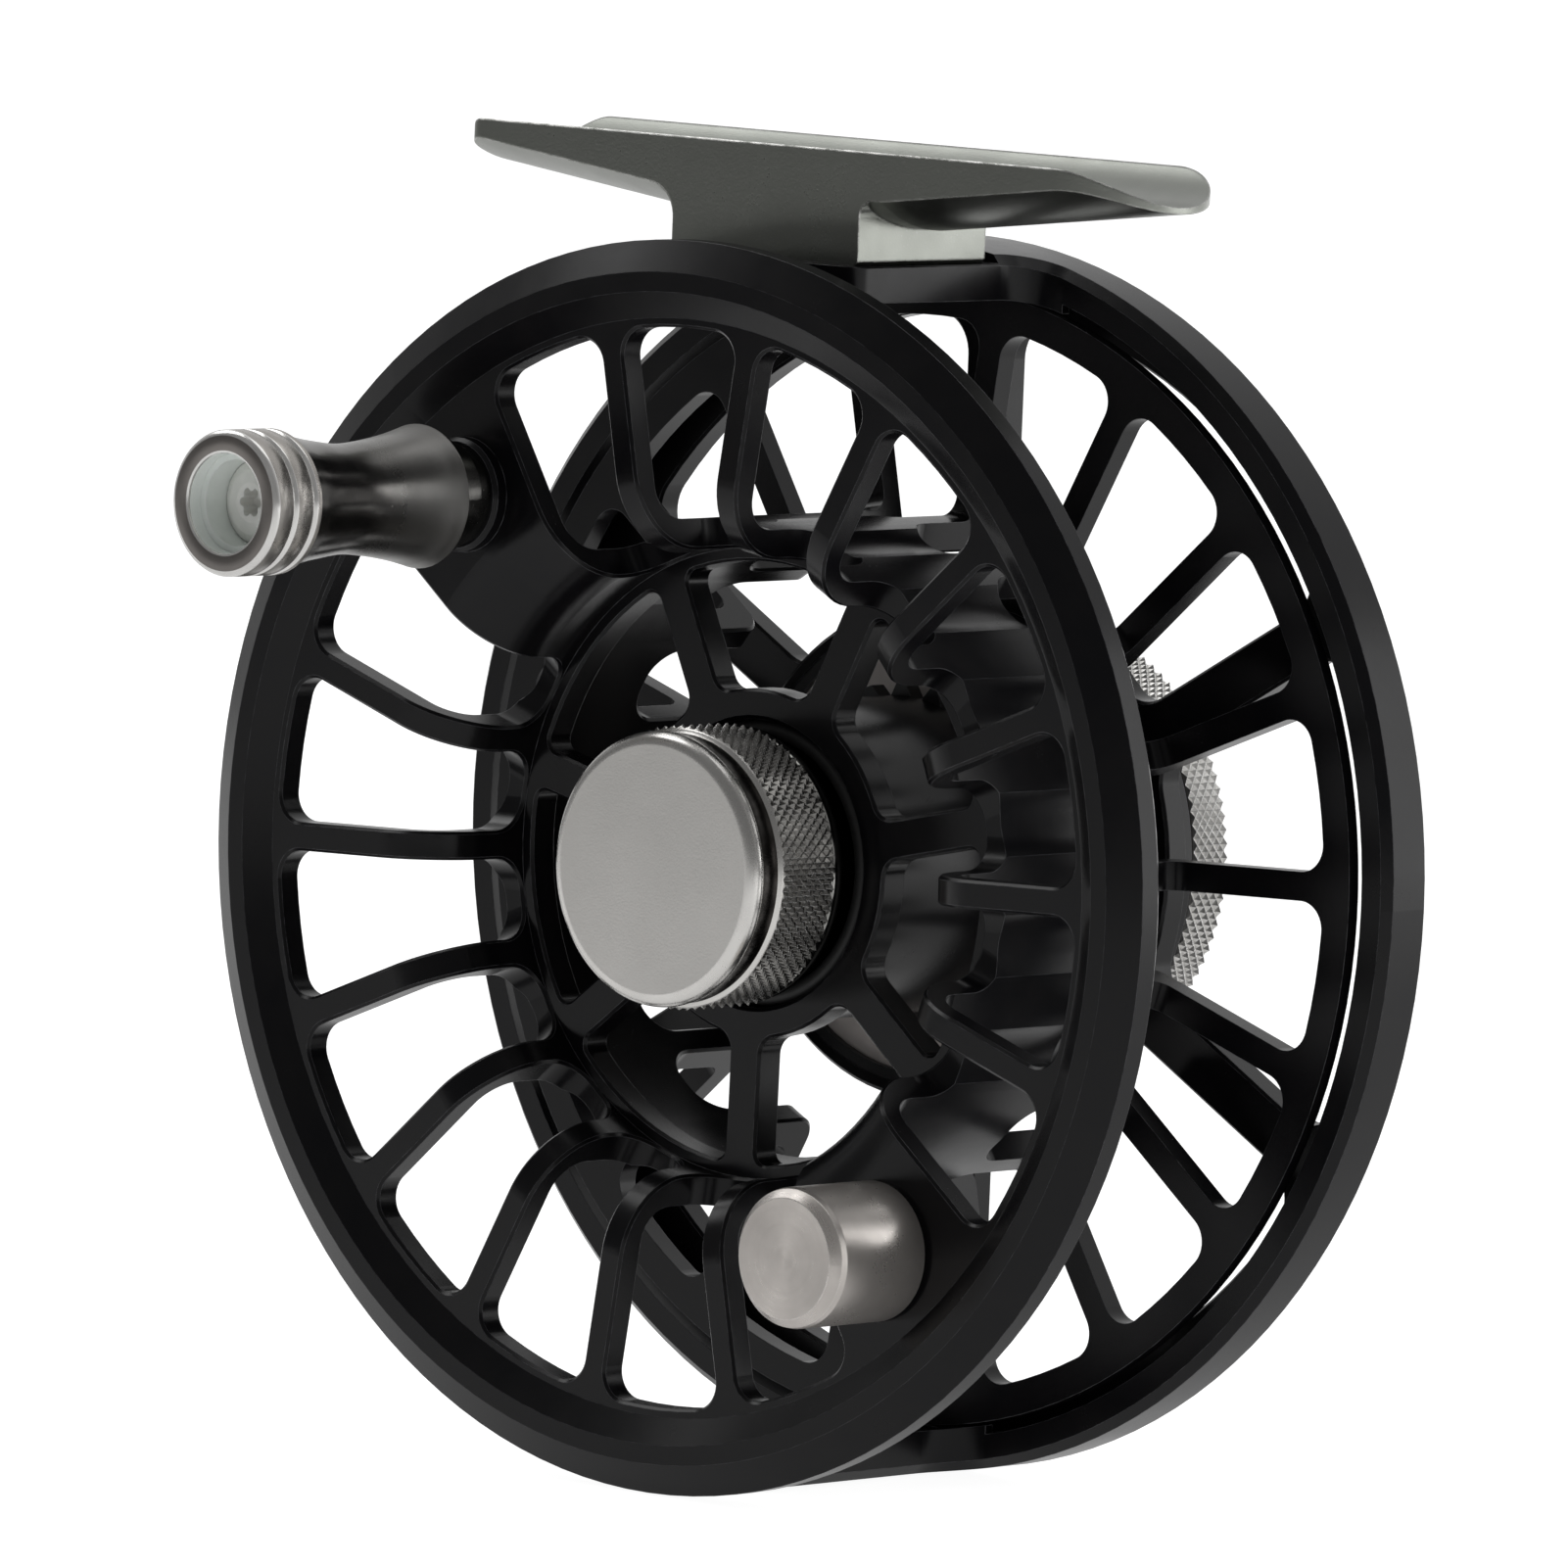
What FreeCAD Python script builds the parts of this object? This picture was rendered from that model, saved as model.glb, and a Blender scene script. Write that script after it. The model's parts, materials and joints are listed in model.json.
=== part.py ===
import FreeCAD, Part
import math
import os
import Sketcher

# Fly reel, millimetres. Every piece is modelled about the spool axis: +Y runs from the handle side to
# the drag knob, +Z points up to the foot. The origin of the finished reel is the middle of the rod seat
# on top of the foot, so each piece's Placement lowers it by axis_drop and brings it forward by seat_back.

Vector = FreeCAD.Vector
ALONG = Vector(0, 1, 0)
UP = Vector(0, 0, 1)

doc = FreeCAD.newDocument("fly_reel")
sheet = doc.addObject("Spreadsheet::Sheet", "Sizes")

SIZES = [
    # where the origin lies
    ("axis_drop", 54.7, "height of the rod seat's edges above the spool axis"),
    ("seat_back", 16.2, "distance of the rod seat's middle behind the rim's largest circle"),
    # spool, front flange
    ("rim_radius", 47.5, "largest radius of the front flange"),
    ("rim_front", 1.4, "rim face stands this far in front of the largest circle"),
    ("rim_back", 2.9, "back edge of the rim"),
    ("lip_outer", 45.1, "outer radius of the rim's flat face"),
    ("lip_inner", 43.6, "inner radius of the rim's flat face"),
    ("web_outer", 41.6, "radius where the dished web starts"),
    ("web_front", -0.1, "front face of the web, behind the rim circle when positive"),
    ("web_back", 1.9, "back face of the web"),
    ("rim_slope_along", 1.2, "length along the axis of the slope behind the rim circle"),
    ("rim_slope_in", 1.0, "depth of that slope"),
    ("rim_foot_outer", 1.6, "outside of the step between rim and web"),
    ("rim_foot_inner", 1.0, "inside of that step"),
    ("edge_break", 0.3, "chamfer on small machined edges"),
    # spool, arbor and back flange
    ("arbor_outer", 26.4, "outside radius of the arbor"),
    ("arbor_bore", 24.0, "inside radius of the arbor"),
    ("arbor_bend", 6.1, "radius where the web turns into the arbor"),
    ("bend_back", 2.6, "radius behind that bend"),
    ("back_bend", 1.9, "radius where the arbor's bore meets the back flange"),
    ("line_bed_round", 1.4, "radius where the arbor meets the back flange"),
    ("flange_front", 27.6, "front face of the back flange"),
    ("flange_back", 29.6, "back face of the back flange"),
    ("flange_radius", 43.95, "outer radius of the back flange"),
    ("flange_lip", 1.05, "width of the back flange's edge"),
    ("flange_taper", 0.8, "slope behind the back flange's edge"),
    # spool, windows
    ("spoke_width", 2.2, "width of a spool spoke"),
    ("spoke_count", 18.0, "spoke pitch count around the spool"),
    ("window_radius", 40.9, "outer radius of the front windows"),
    ("back_window_radius", 41.4, "outer radius of the back windows"),
    ("window_corner", 2.1, "corner radius of the windows"),
    ("window_end", 2.5, "radius at the end of a window on the arbor"),
    ("front_window_end", 9.1, "front windows stop here on the arbor"),
    ("back_window_end", 19.4, "back windows stop here on the arbor"),
    ("window_turn", 1.3, "the windows are turned from the handle by this many degrees"),
    ("window_bevel", 0.22, "bevel along the edges of all windows"),
    ("flute_radius", 5.2, "radius of the shallow flutes along the arbor"),
    ("flute_depth", 0.7, "depth of the shallow flutes"),
    # spool, hub
    ("disc_front", 9.4, "front face of the inner disc"),
    ("disc_back", 11.8, "back face of the inner disc"),
    ("hub_radius", 12.2, "outside radius of the spool hub"),
    ("hub_back", 26.0, "back end of the hub"),
    ("cap_well", 11.0, "radius of the well around the cap"),
    ("well_floor", 12.4, "floor of that well"),
    ("hub_wall", 14.0, "back of the hub's front wall"),
    ("hub_round", 1.0, "radius behind the inner disc"),
    ("inner_spoke_width", 3.1, "width of an inner spoke"),
    ("inner_spoke_count", 7.0, "inner spokes"),
    ("inner_window_turn", 10.5, "first inner window, degrees from the handle"),
    ("inner_window_inner", 13.3, "inner radius of the inner windows"),
    ("inner_window_outer", 23.0, "outer radius of the inner windows"),
    ("inner_window_corner", 1.0, "outer corner radius of the inner windows"),
    ("inner_window_root", 1.6, "inner corner radius of the inner windows"),
    # handle and counterweight
    ("handle_angle", 130.4, "direction of the handle from +X towards +Z"),
    ("handle_offset", 34.9, "handle axis to spool axis"),
    ("handle_end", 26.4, "end of the grip in front of the rim circle"),
    ("handle_base", 5.3, "flared end of the grip in front of the rim circle"),
    ("grip_end_radius", 5.2, "radius of the grip's end face"),
    ("grip_ring_radius", 5.55, "radius of the bands near the grip's end"),
    ("band_width", 2.12, "distance from one groove to the next"),
    ("groove_count", 2.0, "grooves between the bands"),
    ("groove_half", 0.22, "half width of a groove"),
    ("grip_groove", 0.28, "depth of a groove"),
    ("grip_edge", 0.28, "chamfer on the grip's end"),
    ("grip_waist_radius", 4.2, "radius of the grip's waist"),
    ("grip_flare_radius", 5.5, "radius of the flare at the base"),
    ("grip_bore", 3.0, "bore of the grip"),
    ("grip_recess", 3.8, "radius of the recess in the grip's end"),
    ("bushing_lip", 1.4, "the outer bushing starts this deep in the recess"),
    ("bushing_seat", 3.95, "depth of the seat for the screw head"),
    ("recess_depth", 4.6, "depth of the recess"),
    ("screw_head", 3.2, "radius of the handle screw's head"),
    ("screw_top", 2.9, "depth of the top of that head"),
    ("screw_dome", 2.5, "radius where the head starts to bend down"),
    ("screw_flat", 1.5, "radius of the flat around the socket"),
    ("socket_radius", 1.15, "radius of the sockets in handle screw and counterweight screw"),
    ("bushing_length", 4.2, "length of the bushings' narrow part"),
    ("seat_gap", 0.06, "gap around and under the handle screw's seat"),
    ("handle_shank", 2.0, "radius of the handle screw's shank"),
    ("collar_radius", 4.35, "radius of the collar under the grip"),
    ("collar_neck", 3.8, "radius of the collar's back end"),
    ("collar_step", 2.6, "the collar narrows this far in front of the rim circle"),
    ("collar_edge", 0.2, "chamfer on the collar"),
    ("handle_boss", 4.4, "radius of the boss the handle stands on"),
    ("boss_top", 1.3, "front of that boss"),
    ("weight_radius", 5.3, "radius of the counterweight"),
    ("weight_front", 10.3, "front face of the counterweight"),
    ("weight_screw", 1.5, "radius of the counterweight screw"),
    ("weight_thread", 5.0, "depth of the counterweight's screw hole"),
    ("weight_screw_length", 4.6, "length of that screw in the hole"),
    ("weight_screw_head", 2.6, "radius of that screw's head"),
    ("weight_screw_edge", 0.4, "chamfer on that head"),
    # spool cap
    ("cap_radius", 10.8, "radius of the cap"),
    ("cap_front", 1.9, "front face of the cap"),
    ("cap_back", 8.05, "back of the cap's knurled part"),
    ("cap_neck", 9.5, "radius of the cap's neck"),
    ("stud_radius", 3.0, "radius of the cap's stud"),
    ("stud_end", 19.9, "back end of the cap's stud"),
    ("cap_band", 0.35, "the cap's front band is this much smaller"),
    ("cap_groove", 0.6, "depth of the groove behind that band"),
    ("cap_round", 1.0, "radius around the cap's front face"),
    ("cap_band_back", 0.8, "the front band ends this far in front of the rim circle"),
    ("cap_knurl_front", 1.25, "front of the cap's knurled part"),
    ("cap_slope", 0.3, "length of the slope between groove and knurl"),
    ("seal_circle", 10.2, "radius of the seal's centre line"),
    ("seal_half", 0.65, "half thickness of the seal"),
    ("seal_along", 10.6, "middle of the seal along the axis"),
    ("clip_outer", 5.2, "outer radius of the cap's clip"),
    ("clip_front", 16.6, "front face of the cap's clip"),
    ("clip_back", 17.4, "back face of the cap's clip"),
    ("clip_gap", 2.4, "opening of the cap's clip"),
    # frame
    ("ring_radius", 47.47, "outer radius of the frame ring"),
    ("ring_bore", 44.9, "bore of the frame ring"),
    ("ring_front", 27.9, "front edge of the frame ring"),
    ("ring_back", 32.2, "back edge of the ring's outer band"),
    ("arm_front", 33.7, "front face of the arms"),
    ("arm_back", 36.0, "back face of the arms"),
    ("arm_width", 4.2, "width of an arm"),
    ("arm_count", 6.0, "arms"),
    ("frame_window_radius", 41.6, "outer radius of the frame windows"),
    ("frame_window_inner", 20.6, "inner radius of the frame windows"),
    ("frame_window_corner", 3.2, "corner radius of the frame windows"),
    ("cup_radius", 19.0, "outside radius of the drag cup"),
    ("cup_bore", 16.4, "bore of the drag cup"),
    ("cup_front", 28.3, "front rim of the drag cup"),
    ("cup_floor", 38.6, "floor of the drag cup"),
    ("cup_back", 40.4, "back face of the drag cup"),
    ("cup_step", 1.9, "depth of the step for the drag cover"),
    ("cup_lip", 1.1, "width of the cup's front rim"),
    ("neck_radius", 17.9, "radius of the cup behind the arms"),
    ("bar_bore", 44.2, "inside radius of the crossbars"),
    ("bar_front", 8.0, "front end of the crossbars"),
    ("top_bar_half", 9.2, "half width of the top crossbar"),
    ("bottom_bar_half", 6.2, "half width of the bottom crossbar"),
    ("bar_flare", 3.4, "radius where a crossbar meets the ring"),
    ("bar_root", 0.8, "the crossbars reach this far into the ring"),
    ("bar_corner", 1.6, "corner radius at the front of a crossbar"),
    ("ring_bevel", 0.7, "bevel along the front edge of ring and crossbars"),
    ("foot_flat", 46.0, "height of the flat the foot stands on"),
    ("flat_margin", 1.0, "the flat ends this far behind the foot"),
    ("boss_radius", 6.0, "radius of the boss the drag knob turns on"),
    ("boss_back", 44.0, "back end of that boss"),
    # foot
    ("foot_left", 32.9, "left tip of the foot"),
    ("foot_right", 34.7, "right tip of the foot"),
    ("foot_front", 9.0, "front face of the foot"),
    ("foot_back", 23.4, "back face of the foot"),
    ("seat_radius", 11.3, "radius of the concave rod seat"),
    ("foot_thin_left", 1.3, "thickness of the foot's edge at its left tip"),
    ("foot_thin_right", 0.85, "thickness of the foot's edge at its right tip"),
    ("foot_thick", 3.7, "thickness of the foot's edge beside the stem"),
    ("stem_left", 10.6, "left side of the stem"),
    ("stem_right", 8.5, "right side of the stem"),
    ("left_tip_round", 2.2, "corner radius of the left tip"),
    ("right_tip_round", 7.1, "corner radius of the right tip"),
    ("stem_fillet_left", 2.6, "radius between the stem and the left wing"),
    ("stem_fillet_right", 1.3, "radius between the stem and the right wing"),
    ("wing_root", 2.1, "the wings reach their full thickness this far outside the stem"),
    ("foot_sag", 0.87, "sag of the underside as a share of the seat's sag"),
    ("stem_chamfer", 0.35, "chamfer at the bottom of the stem"),
    ("foot_screw", 1.5, "radius of a foot screw"),
    ("foot_screw_head", 1.2, "countersink beyond the screw's radius, also its depth"),
    ("foot_screw_start", 0.15, "the countersink starts this far above the bar's inside"),
    ("foot_screw_length", 6.0, "length of a foot screw"),
    ("foot_screw_front", 12.6, "place of the front foot screw"),
    ("foot_screw_rear", 19.8, "place of the rear foot screw"),
    # drive and drag
    ("spindle_radius", 3.0, "radius of the spindle"),
    ("spindle_front", 21.2, "front end of the spindle"),
    ("sleeve_front", 17.8, "front end of the drive sleeve"),
    ("sleeve_back", 36.2, "back end of the drive sleeve"),
    ("sleeve_hex", 7.2, "corner radius of the sleeve's hexagon"),
    ("sleeve_round", 6.97, "radius of the sleeve's round end"),
    ("sleeve_bore", 5.5, "bore of the sleeve"),
    ("sleeve_hex_end", 27.8, "back end of the sleeve's hexagon"),
    ("sleeve_bore_front", 20.8, "front end of the sleeve's bore"),
    ("drive_gap", 0.08, "running gap between sleeve and spool"),
    ("spindle_thread", 1.5, "radius of the knob screw and its hole"),
    ("spindle_thread_depth", 6.0, "depth of that hole"),
    ("clip_start", 0.55, "the spindle clip starts this far behind the spindle's front"),
    ("spindle_clip_radius", 4.4, "outer radius of the spindle clip"),
    ("spindle_clip_thick", 0.6, "thickness of the spindle clip"),
    ("bearing_width", 3.0, "width of a ball bearing"),
    ("front_bearing_start", 22.5, "front face of the front bearing"),
    ("rear_bearing_start", 32.6, "front face of the rear bearing"),
    ("bearing_edge", 0.2, "chamfer on a bearing"),
    ("press_gap", 0.02, "gap between a bearing and the spindle"),
    ("clutch_radius", 10.0, "outer radius of the one-way clutch"),
    ("clutch_front", 31.4, "front face of the one-way clutch"),
    ("clutch_back", 36.0, "back face of the one-way clutch"),
    ("disc_radius", 16.0, "radius of the drag discs"),
    ("disc_bore", 12.0, "bore of the rear discs"),
    ("front_disc_bore", 9.0, "bore of the front disc"),
    ("disc_thick", 1.0, "thickness of a drag disc"),
    ("plate_thick", 0.8, "thickness of a steel disc or plate"),
    ("plate_gap", 0.1, "gap between a steel disc and the cup"),
    ("stack_gap", 0.05, "gap between neighbours in the stack"),
    ("rotor_front", 31.3, "front face of the drag rotor"),
    ("rotor_step", 32.9, "back face of the rotor's flange"),
    ("rotor_back", 36.2, "back face of the rotor's sleeve"),
    ("rotor_sleeve", 11.6, "outer radius of the rotor's sleeve"),
    ("cover_bore", 8.0, "bore of the drag cover and the pressure plate"),
    ("cover_front", 28.9, "front face of the drag cover"),
    ("cover_edge", 0.4, "chamfer on the drag cover"),
    ("cover_gap", 0.06, "gap between cover and cup"),
    ("cover_clip_inner", 17.0, "inner radius of the cover's clip"),
    ("cover_clip_front", 28.35, "front face of that clip"),
    ("cover_clip_back", 28.88, "back face of that clip"),
    ("cover_clip_turn", 215.0, "direction of that clip's opening"),
    ("pressure_front", 36.3, "front face of the pressure plate"),
    ("spring_inner", 8.2, "inner radius of the disc spring"),
    ("spring_outer", 13.0, "outer radius of the disc spring"),
    ("spring_front", 37.12, "front of the disc spring"),
    ("spring_rise", 0.15, "dish of the disc spring"),
    ("spring_thick", 0.14, "thickness of the disc spring"),
    ("washer_outer", 13.4, "outer radius of the thrust washer"),
    ("washer_front", 37.9, "front face of the thrust washer"),
    ("washer_back", 38.3, "back face of the thrust washer"),
    ("pin_circle", 11.0, "radius of the circle of thrust pins"),
    ("pin_radius", 1.2, "radius of a thrust pin"),
    ("pin_count", 3.0, "thrust pins"),
    ("pin_end", 40.78, "back end of a thrust pin"),
    # drag knob
    ("knob_radius", 17.1, "radius of the drag knob"),
    ("knob_front", 40.8, "front face of the drag knob"),
    ("knob_back", 45.1, "back face of the drag knob"),
    ("knob_front_edge", 0.8, "chamfer width at the knob's front"),
    ("knob_edge", 0.7, "chamfer on the knob"),
    ("knob_dish_outer", 13.6, "outer radius of the dish in the knob's back"),
    ("knob_dish_inner", 7.6, "inner radius of that dish"),
    ("knob_dish_depth", 0.6, "depth of that dish"),
    ("knob_dish_slope", 0.7, "width of the outer slope of that dish"),
    ("knob_well", 6.7, "radius of the well around the knob screw"),
    ("knob_screw_head", 6.5, "radius of the knob screw's head"),
    ("knob_screw_edge", 0.4, "chamfer on that head"),
    ("knob_screw_thick", 1.2, "thickness of that head"),
    ("knob_screw_length", 5.6, "length of the knob screw below its head"),
    ("knob_slot", 1.5, "width of the slot in that head"),
    ("knob_slot_depth", 0.6, "depth of that slot"),
    ("run_gap", 0.04, "radial running gap of small turning fits"),
    # click
    ("gear_tip", 13.2, "tip radius of the click gear"),
    ("gear_root", 12.0, "root radius of the click gear"),
    ("gear_teeth", 24.0, "teeth of the click gear"),
    ("gear_front", 26.02, "front face of the click gear"),
    ("gear_back", 27.4, "back face of the click gear"),
    ("pawl_angle", 190.0, "direction of the pawl's nose"),
    ("gear_clearance", 0.4, "gap between gear bore and the sleeve's corners"),
    ("pivot_out", 14.6, "pawl pivot, distance along the nose's direction"),
    ("pivot_side", 6.5, "pawl pivot, distance to the side"),
    ("pivot_radius", 1.0, "radius of the pawl's pivot"),
    ("pivot_front", 25.7, "front of the pivot under its head"),
    ("pivot_end", 28.9, "back end of the pivot"),
    ("pivot_head", 1.7, "radius of the pivot's head"),
    ("pivot_head_front", 25.3, "front face of the pivot's head"),
    ("pivot_head_back", 26.05, "back face of the pivot's head"),
    ("pawl_front", 26.15, "front face of the pawl"),
    ("pawl_back", 27.25, "back face of the pawl"),
    ("pawl_eye", 2.0, "radius of the pawl's eye"),
    ("coil_radius", 1.6, "radius of the pawl spring's coil"),
    ("coil_wire", 0.35, "wire radius of the coil"),
    ("leg_wire", 0.3, "wire radius of the spring's leg"),
    ("leg_length", 5.3, "length of the spring's leg"),
    ("coil_along", 27.8, "middle of the spring along the axis"),
    ("leg_out", 16.2, "spring leg, distance along the nose's direction"),
    ("leg_side", 1.2, "free end of the leg, distance to the side"),
]

for row, (alias, amount, meaning) in enumerate(SIZES, start=1):
    sheet.set(f"A{row}", meaning)
    sheet.set(f"B{row}", str(amount))
    sheet.setAlias(f"B{row}", alias)
doc.recompute()


def size(alias):
    return float(sheet.get(alias))


def total(terms):
    """Value and expression of a sum; a term is an alias, an alias with a minus sign, or a number."""
    if not isinstance(terms, tuple):
        terms = (terms,)
    value = 0.0
    words = []
    for term in terms:
        if isinstance(term, str) and term.startswith("-"):
            value -= size(term[1:])
            words.append(f"- Sizes.{term[1:]}")
        elif isinstance(term, str):
            value += size(term)
            words.append(f"+ Sizes.{term}")
        else:
            value += term
            words.append(f"+ ({term})")
    return value, "0 " + " ".join(words)


def pin_point(sketch, line, across, along):
    """Hold the start of a sketch line at (across, along), measured from the sketch's origin."""
    for kind, terms, axis in (("DistanceX", across, -2), ("DistanceY", along, -1)):
        value, expression = total(terms)
        if abs(value) < 1e-9:
            sketch.addConstraint(Sketcher.Constraint("PointOnObject", line, 1, axis))
            continue
        index = sketch.addConstraint(Sketcher.Constraint(kind, -1, 1, line, 1, value))
        sketch.setExpression(f"Constraints[{index}]", expression)


def polygon_sketch(body, name, plane_role, points):
    """Closed sketch whose corners are all held by the sheet."""
    plane = [item for item in body.Origin.OriginFeatures if item.Role == plane_role][0]
    sketch = body.newObject("Sketcher::SketchObject", name)
    sketch.AttachmentSupport = [(plane, "")]
    sketch.MapMode = "FlatFace"
    corners = [Vector(total(across)[0], total(along)[0], 0) for across, along in points]
    count = len(corners)
    for index in range(count):
        sketch.addGeometry(Part.LineSegment(corners[index], corners[(index + 1) % count]), False)
    for index in range(count):
        sketch.addConstraint(Sketcher.Constraint("Coincident", index, 2, (index + 1) % count, 1))
    for index, (across, along) in enumerate(points):
        pin_point(sketch, index, across, along)
    return sketch


def circle_edges(shape, radius, along):
    """Names of the circular edges with this radius at this place on the axis."""
    names = []
    for number, edge in enumerate(shape.Edges, start=1):
        curve = edge.Curve
        if not isinstance(curve, Part.Circle):
            continue
        if abs(curve.Radius - radius) < 1e-3 and abs(curve.Center.y - along) < 1e-3:
            names.append(f"Edge{number}")
    return names


def turned(name, points, rounds=()):
    """Piece turned about its Y axis; points are (radius, distance along Y), rounds are
    (radius terms, along terms, rounding in mm)."""
    body = doc.addObject("PartDesign::Body", name)
    sketch = polygon_sketch(body, f"{name}_profile", "XY_Plane", points)
    turn = body.newObject("PartDesign::Revolution", f"{name}_turn")
    turn.Profile = sketch
    turn.ReferenceAxis = (sketch, ["V_Axis"])
    turn.Angle = 360
    doc.recompute()
    sketch.Visibility = False
    tip = turn
    for number, (radius, along, rounding) in enumerate(rounds, start=1):
        names = circle_edges(tip.Shape, total(radius)[0], total(along)[0])
        if not names:
            raise ValueError(f"{name}: no edge for rounding {number}")
        fillet = body.newObject("PartDesign::Fillet", f"{name}_round_{number}")
        fillet.Base = (tip, names)
        value, expression = total(rounding)
        fillet.Radius = value
        fillet.setExpression("Radius", expression)
        doc.recompute()
        tip = fillet
    body.Tip = tip
    doc.recompute()
    return body


def shape_feature(name, shape):
    """Piece or cutter whose shape is worked out here from the sheet's sizes."""
    feature = doc.addObject("Part::Feature", name)
    feature.Shape = shape
    return feature


def cut(name, base, cutters):
    """Parametric cut of one object by a group of cutting shapes."""
    tools = shape_feature(f"{name}_cutters", Part.makeCompound(cutters))
    result = doc.addObject("Part::Cut", name)
    result.Base = base
    result.Tool = tools
    doc.recompute()
    return result


def rod_along(radius, start, end, x=0.0, z=0.0):
    """Solid cylinder along Y."""
    return Part.makeCylinder(radius, end - start, Vector(x, start, z), ALONG)


def ring_along(inner, outer, start, end):
    """Plain washer about the spool axis."""
    return rod_along(outer, start, end).cut(rod_along(inner, start - 1, end + 1))


def spun(shape, degrees):
    """Copy turned about the spool axis, from +X towards +Z."""
    copy = shape.copy()
    copy.rotate(Vector(0, 0, 0), ALONG, -degrees)
    return copy


def flat_outline(points, start, depth):
    """Prism along Y over a polygon of (x, z) corners."""
    wire = Part.makePolygon([Vector(x, start, z) for x, z in points + points[:1]])
    return Part.Face(wire).extrude(Vector(0, depth, 0))


def edges_near(shape, test):
    return [edge for edge in shape.Edges if test(edge.CenterOfMass, edge)]


def window(inner, outer, spacing, width, start, end, corner=0.0, inner_corner=0.0, end_round=0.0):
    """Cutter for the space between two radial spokes, centred on +X."""
    half = math.radians(spacing / 2)
    shift = width / 2
    low_far = math.asin(shift / outer)
    low_near = math.asin(shift / inner)
    corners = []
    for radius, lean, side in ((inner, low_near, -1), (outer, low_far, -1),
                               (outer, low_far, 1), (inner, low_near, 1)):
        angle = side * (half - lean)
        corners.append(Vector(radius * math.cos(angle), start, radius * math.sin(angle)))
    edges = [
        Part.makeLine(corners[0], corners[1]),
        Part.Arc(corners[1], Vector(outer, start, 0), corners[2]).toShape(),
        Part.makeLine(corners[2], corners[3]),
        Part.Arc(corners[3], Vector(inner, start, 0), corners[0]).toShape(),
    ]
    solid = Part.Face(Part.Wire(edges)).extrude(Vector(0, end - start, 0))
    middle = (start + end) / 2

    def far_corner(centre, edge):
        return abs(centre.y - middle) < 1e-6 and centre.x > (inner + outer) / 2

    def near_corner(centre, edge):
        return abs(centre.y - middle) < 1e-6 and centre.x < (inner + outer) / 2

    def end_side(centre, edge):
        return abs(centre.y - end) < 1e-6 and abs(centre.z) > 1e-3 and isinstance(edge.Curve, Part.Line)

    if corner:
        solid = solid.makeFillet(corner, edges_near(solid, far_corner))
    if inner_corner:
        solid = solid.makeFillet(inner_corner, edges_near(solid, near_corner))
    if end_round:
        solid = solid.makeFillet(end_round, edges_near(solid, end_side))
    return solid


NEAR = 2e-3


def places_on(edge):
    """Points spread over an edge."""
    first, last = edge.ParameterRange
    return [edge.valueAt(first + (last - first) * share) for share in (0.02, 0.25, 0.5, 0.75, 0.98)]


def turned_circle(edge):
    """(radius, distance along Y) of a circular edge about the spool axis, else None."""
    curve = edge.Curve
    if not isinstance(curve, Part.Circle) or math.hypot(curve.Center.x, curve.Center.z) > NEAR:
        return None
    if abs(abs(curve.Axis.y) - 1) > NEAR:
        return None
    return curve.Radius, curve.Center.y


def bevelled(name, base, width, touches, circles=()):
    """Bevel every edge lying on the surfaces that `touches` accepts. Circles about the spool axis
    are left sharp unless (radius, distance along Y) is listed."""
    picked = []
    for number, edge in enumerate(base.Shape.Edges, start=1):
        if edge.isClosed() or not all(touches(point) for point in places_on(edge)):
            continue
        circle = turned_circle(edge)
        listed = circle and any(math.dist(circle, wanted) < NEAR for wanted in circles)
        if circle is None or listed:
            picked.append((number, width, width))
    result = doc.addObject("Part::Chamfer", name)
    result.Base = base
    result.Edges = picked
    doc.recompute()
    return result


nodes = []


def keep(feature, label, turn=0.0, x=0.0, z=0.0, tied=True):
    """Give a finished piece its name and its place in the reel."""
    feature.Label = label
    rotation = FreeCAD.Rotation(ALONG, -turn)
    base = Vector(x, -size("seat_back"), z - size("axis_drop"))
    feature.Placement = FreeCAD.Placement(base, rotation)
    if tied:
        feature.setExpression("Placement.Base.y", "-Sizes.seat_back")
        feature.setExpression("Placement.Base.z", f"{z} - Sizes.axis_drop")
    nodes.append(feature)
    return feature


# ---------------------------------------------------------------- spool
spool_blank = turned("spool_blank", [
    ("stud_radius", "well_floor"),
    ("cap_well", "well_floor"),
    ("cap_well", ("disc_front", "edge_break")),
    (("cap_well", "edge_break"), "disc_front"),
    ("arbor_bore", "disc_front"),
    ("arbor_bore", "web_front"),
    ("web_outer", "web_front"),
    ("lip_inner", "-rim_front"),
    ("lip_outer", "-rim_front"),
    ("rim_radius", 0.0),
    ("rim_radius", ("rim_back", "-rim_slope_along")),
    (("rim_radius", "-rim_slope_in"), "rim_back"),
    (("web_outer", "rim_foot_outer"), "rim_back"),
    (("web_outer", "rim_foot_inner"), "web_back"),
    ("arbor_outer", "web_back"),
    ("arbor_outer", "flange_front"),
    ("flange_radius", "flange_front"),
    ("flange_radius", ("flange_front", "flange_lip")),
    (("flange_radius", "-flange_taper"), "flange_back"),
    ("arbor_bore", "flange_back"),
    ("arbor_bore", "disc_back"),
    ("hub_radius", "disc_back"),
    ("hub_radius", "hub_back"),
    ("stud_radius", "hub_back"),
], rounds=[
    ("arbor_bore", "web_front", "arbor_bend"),
    ("arbor_outer", "web_back", "bend_back"),
    ("arbor_outer", "flange_front", "line_bed_round"),
    ("arbor_bore", "flange_back", "back_bend"),
    ("arbor_bore", "disc_back", "hub_round"),
    ("hub_radius", "disc_back", "hub_round"),
])

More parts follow.
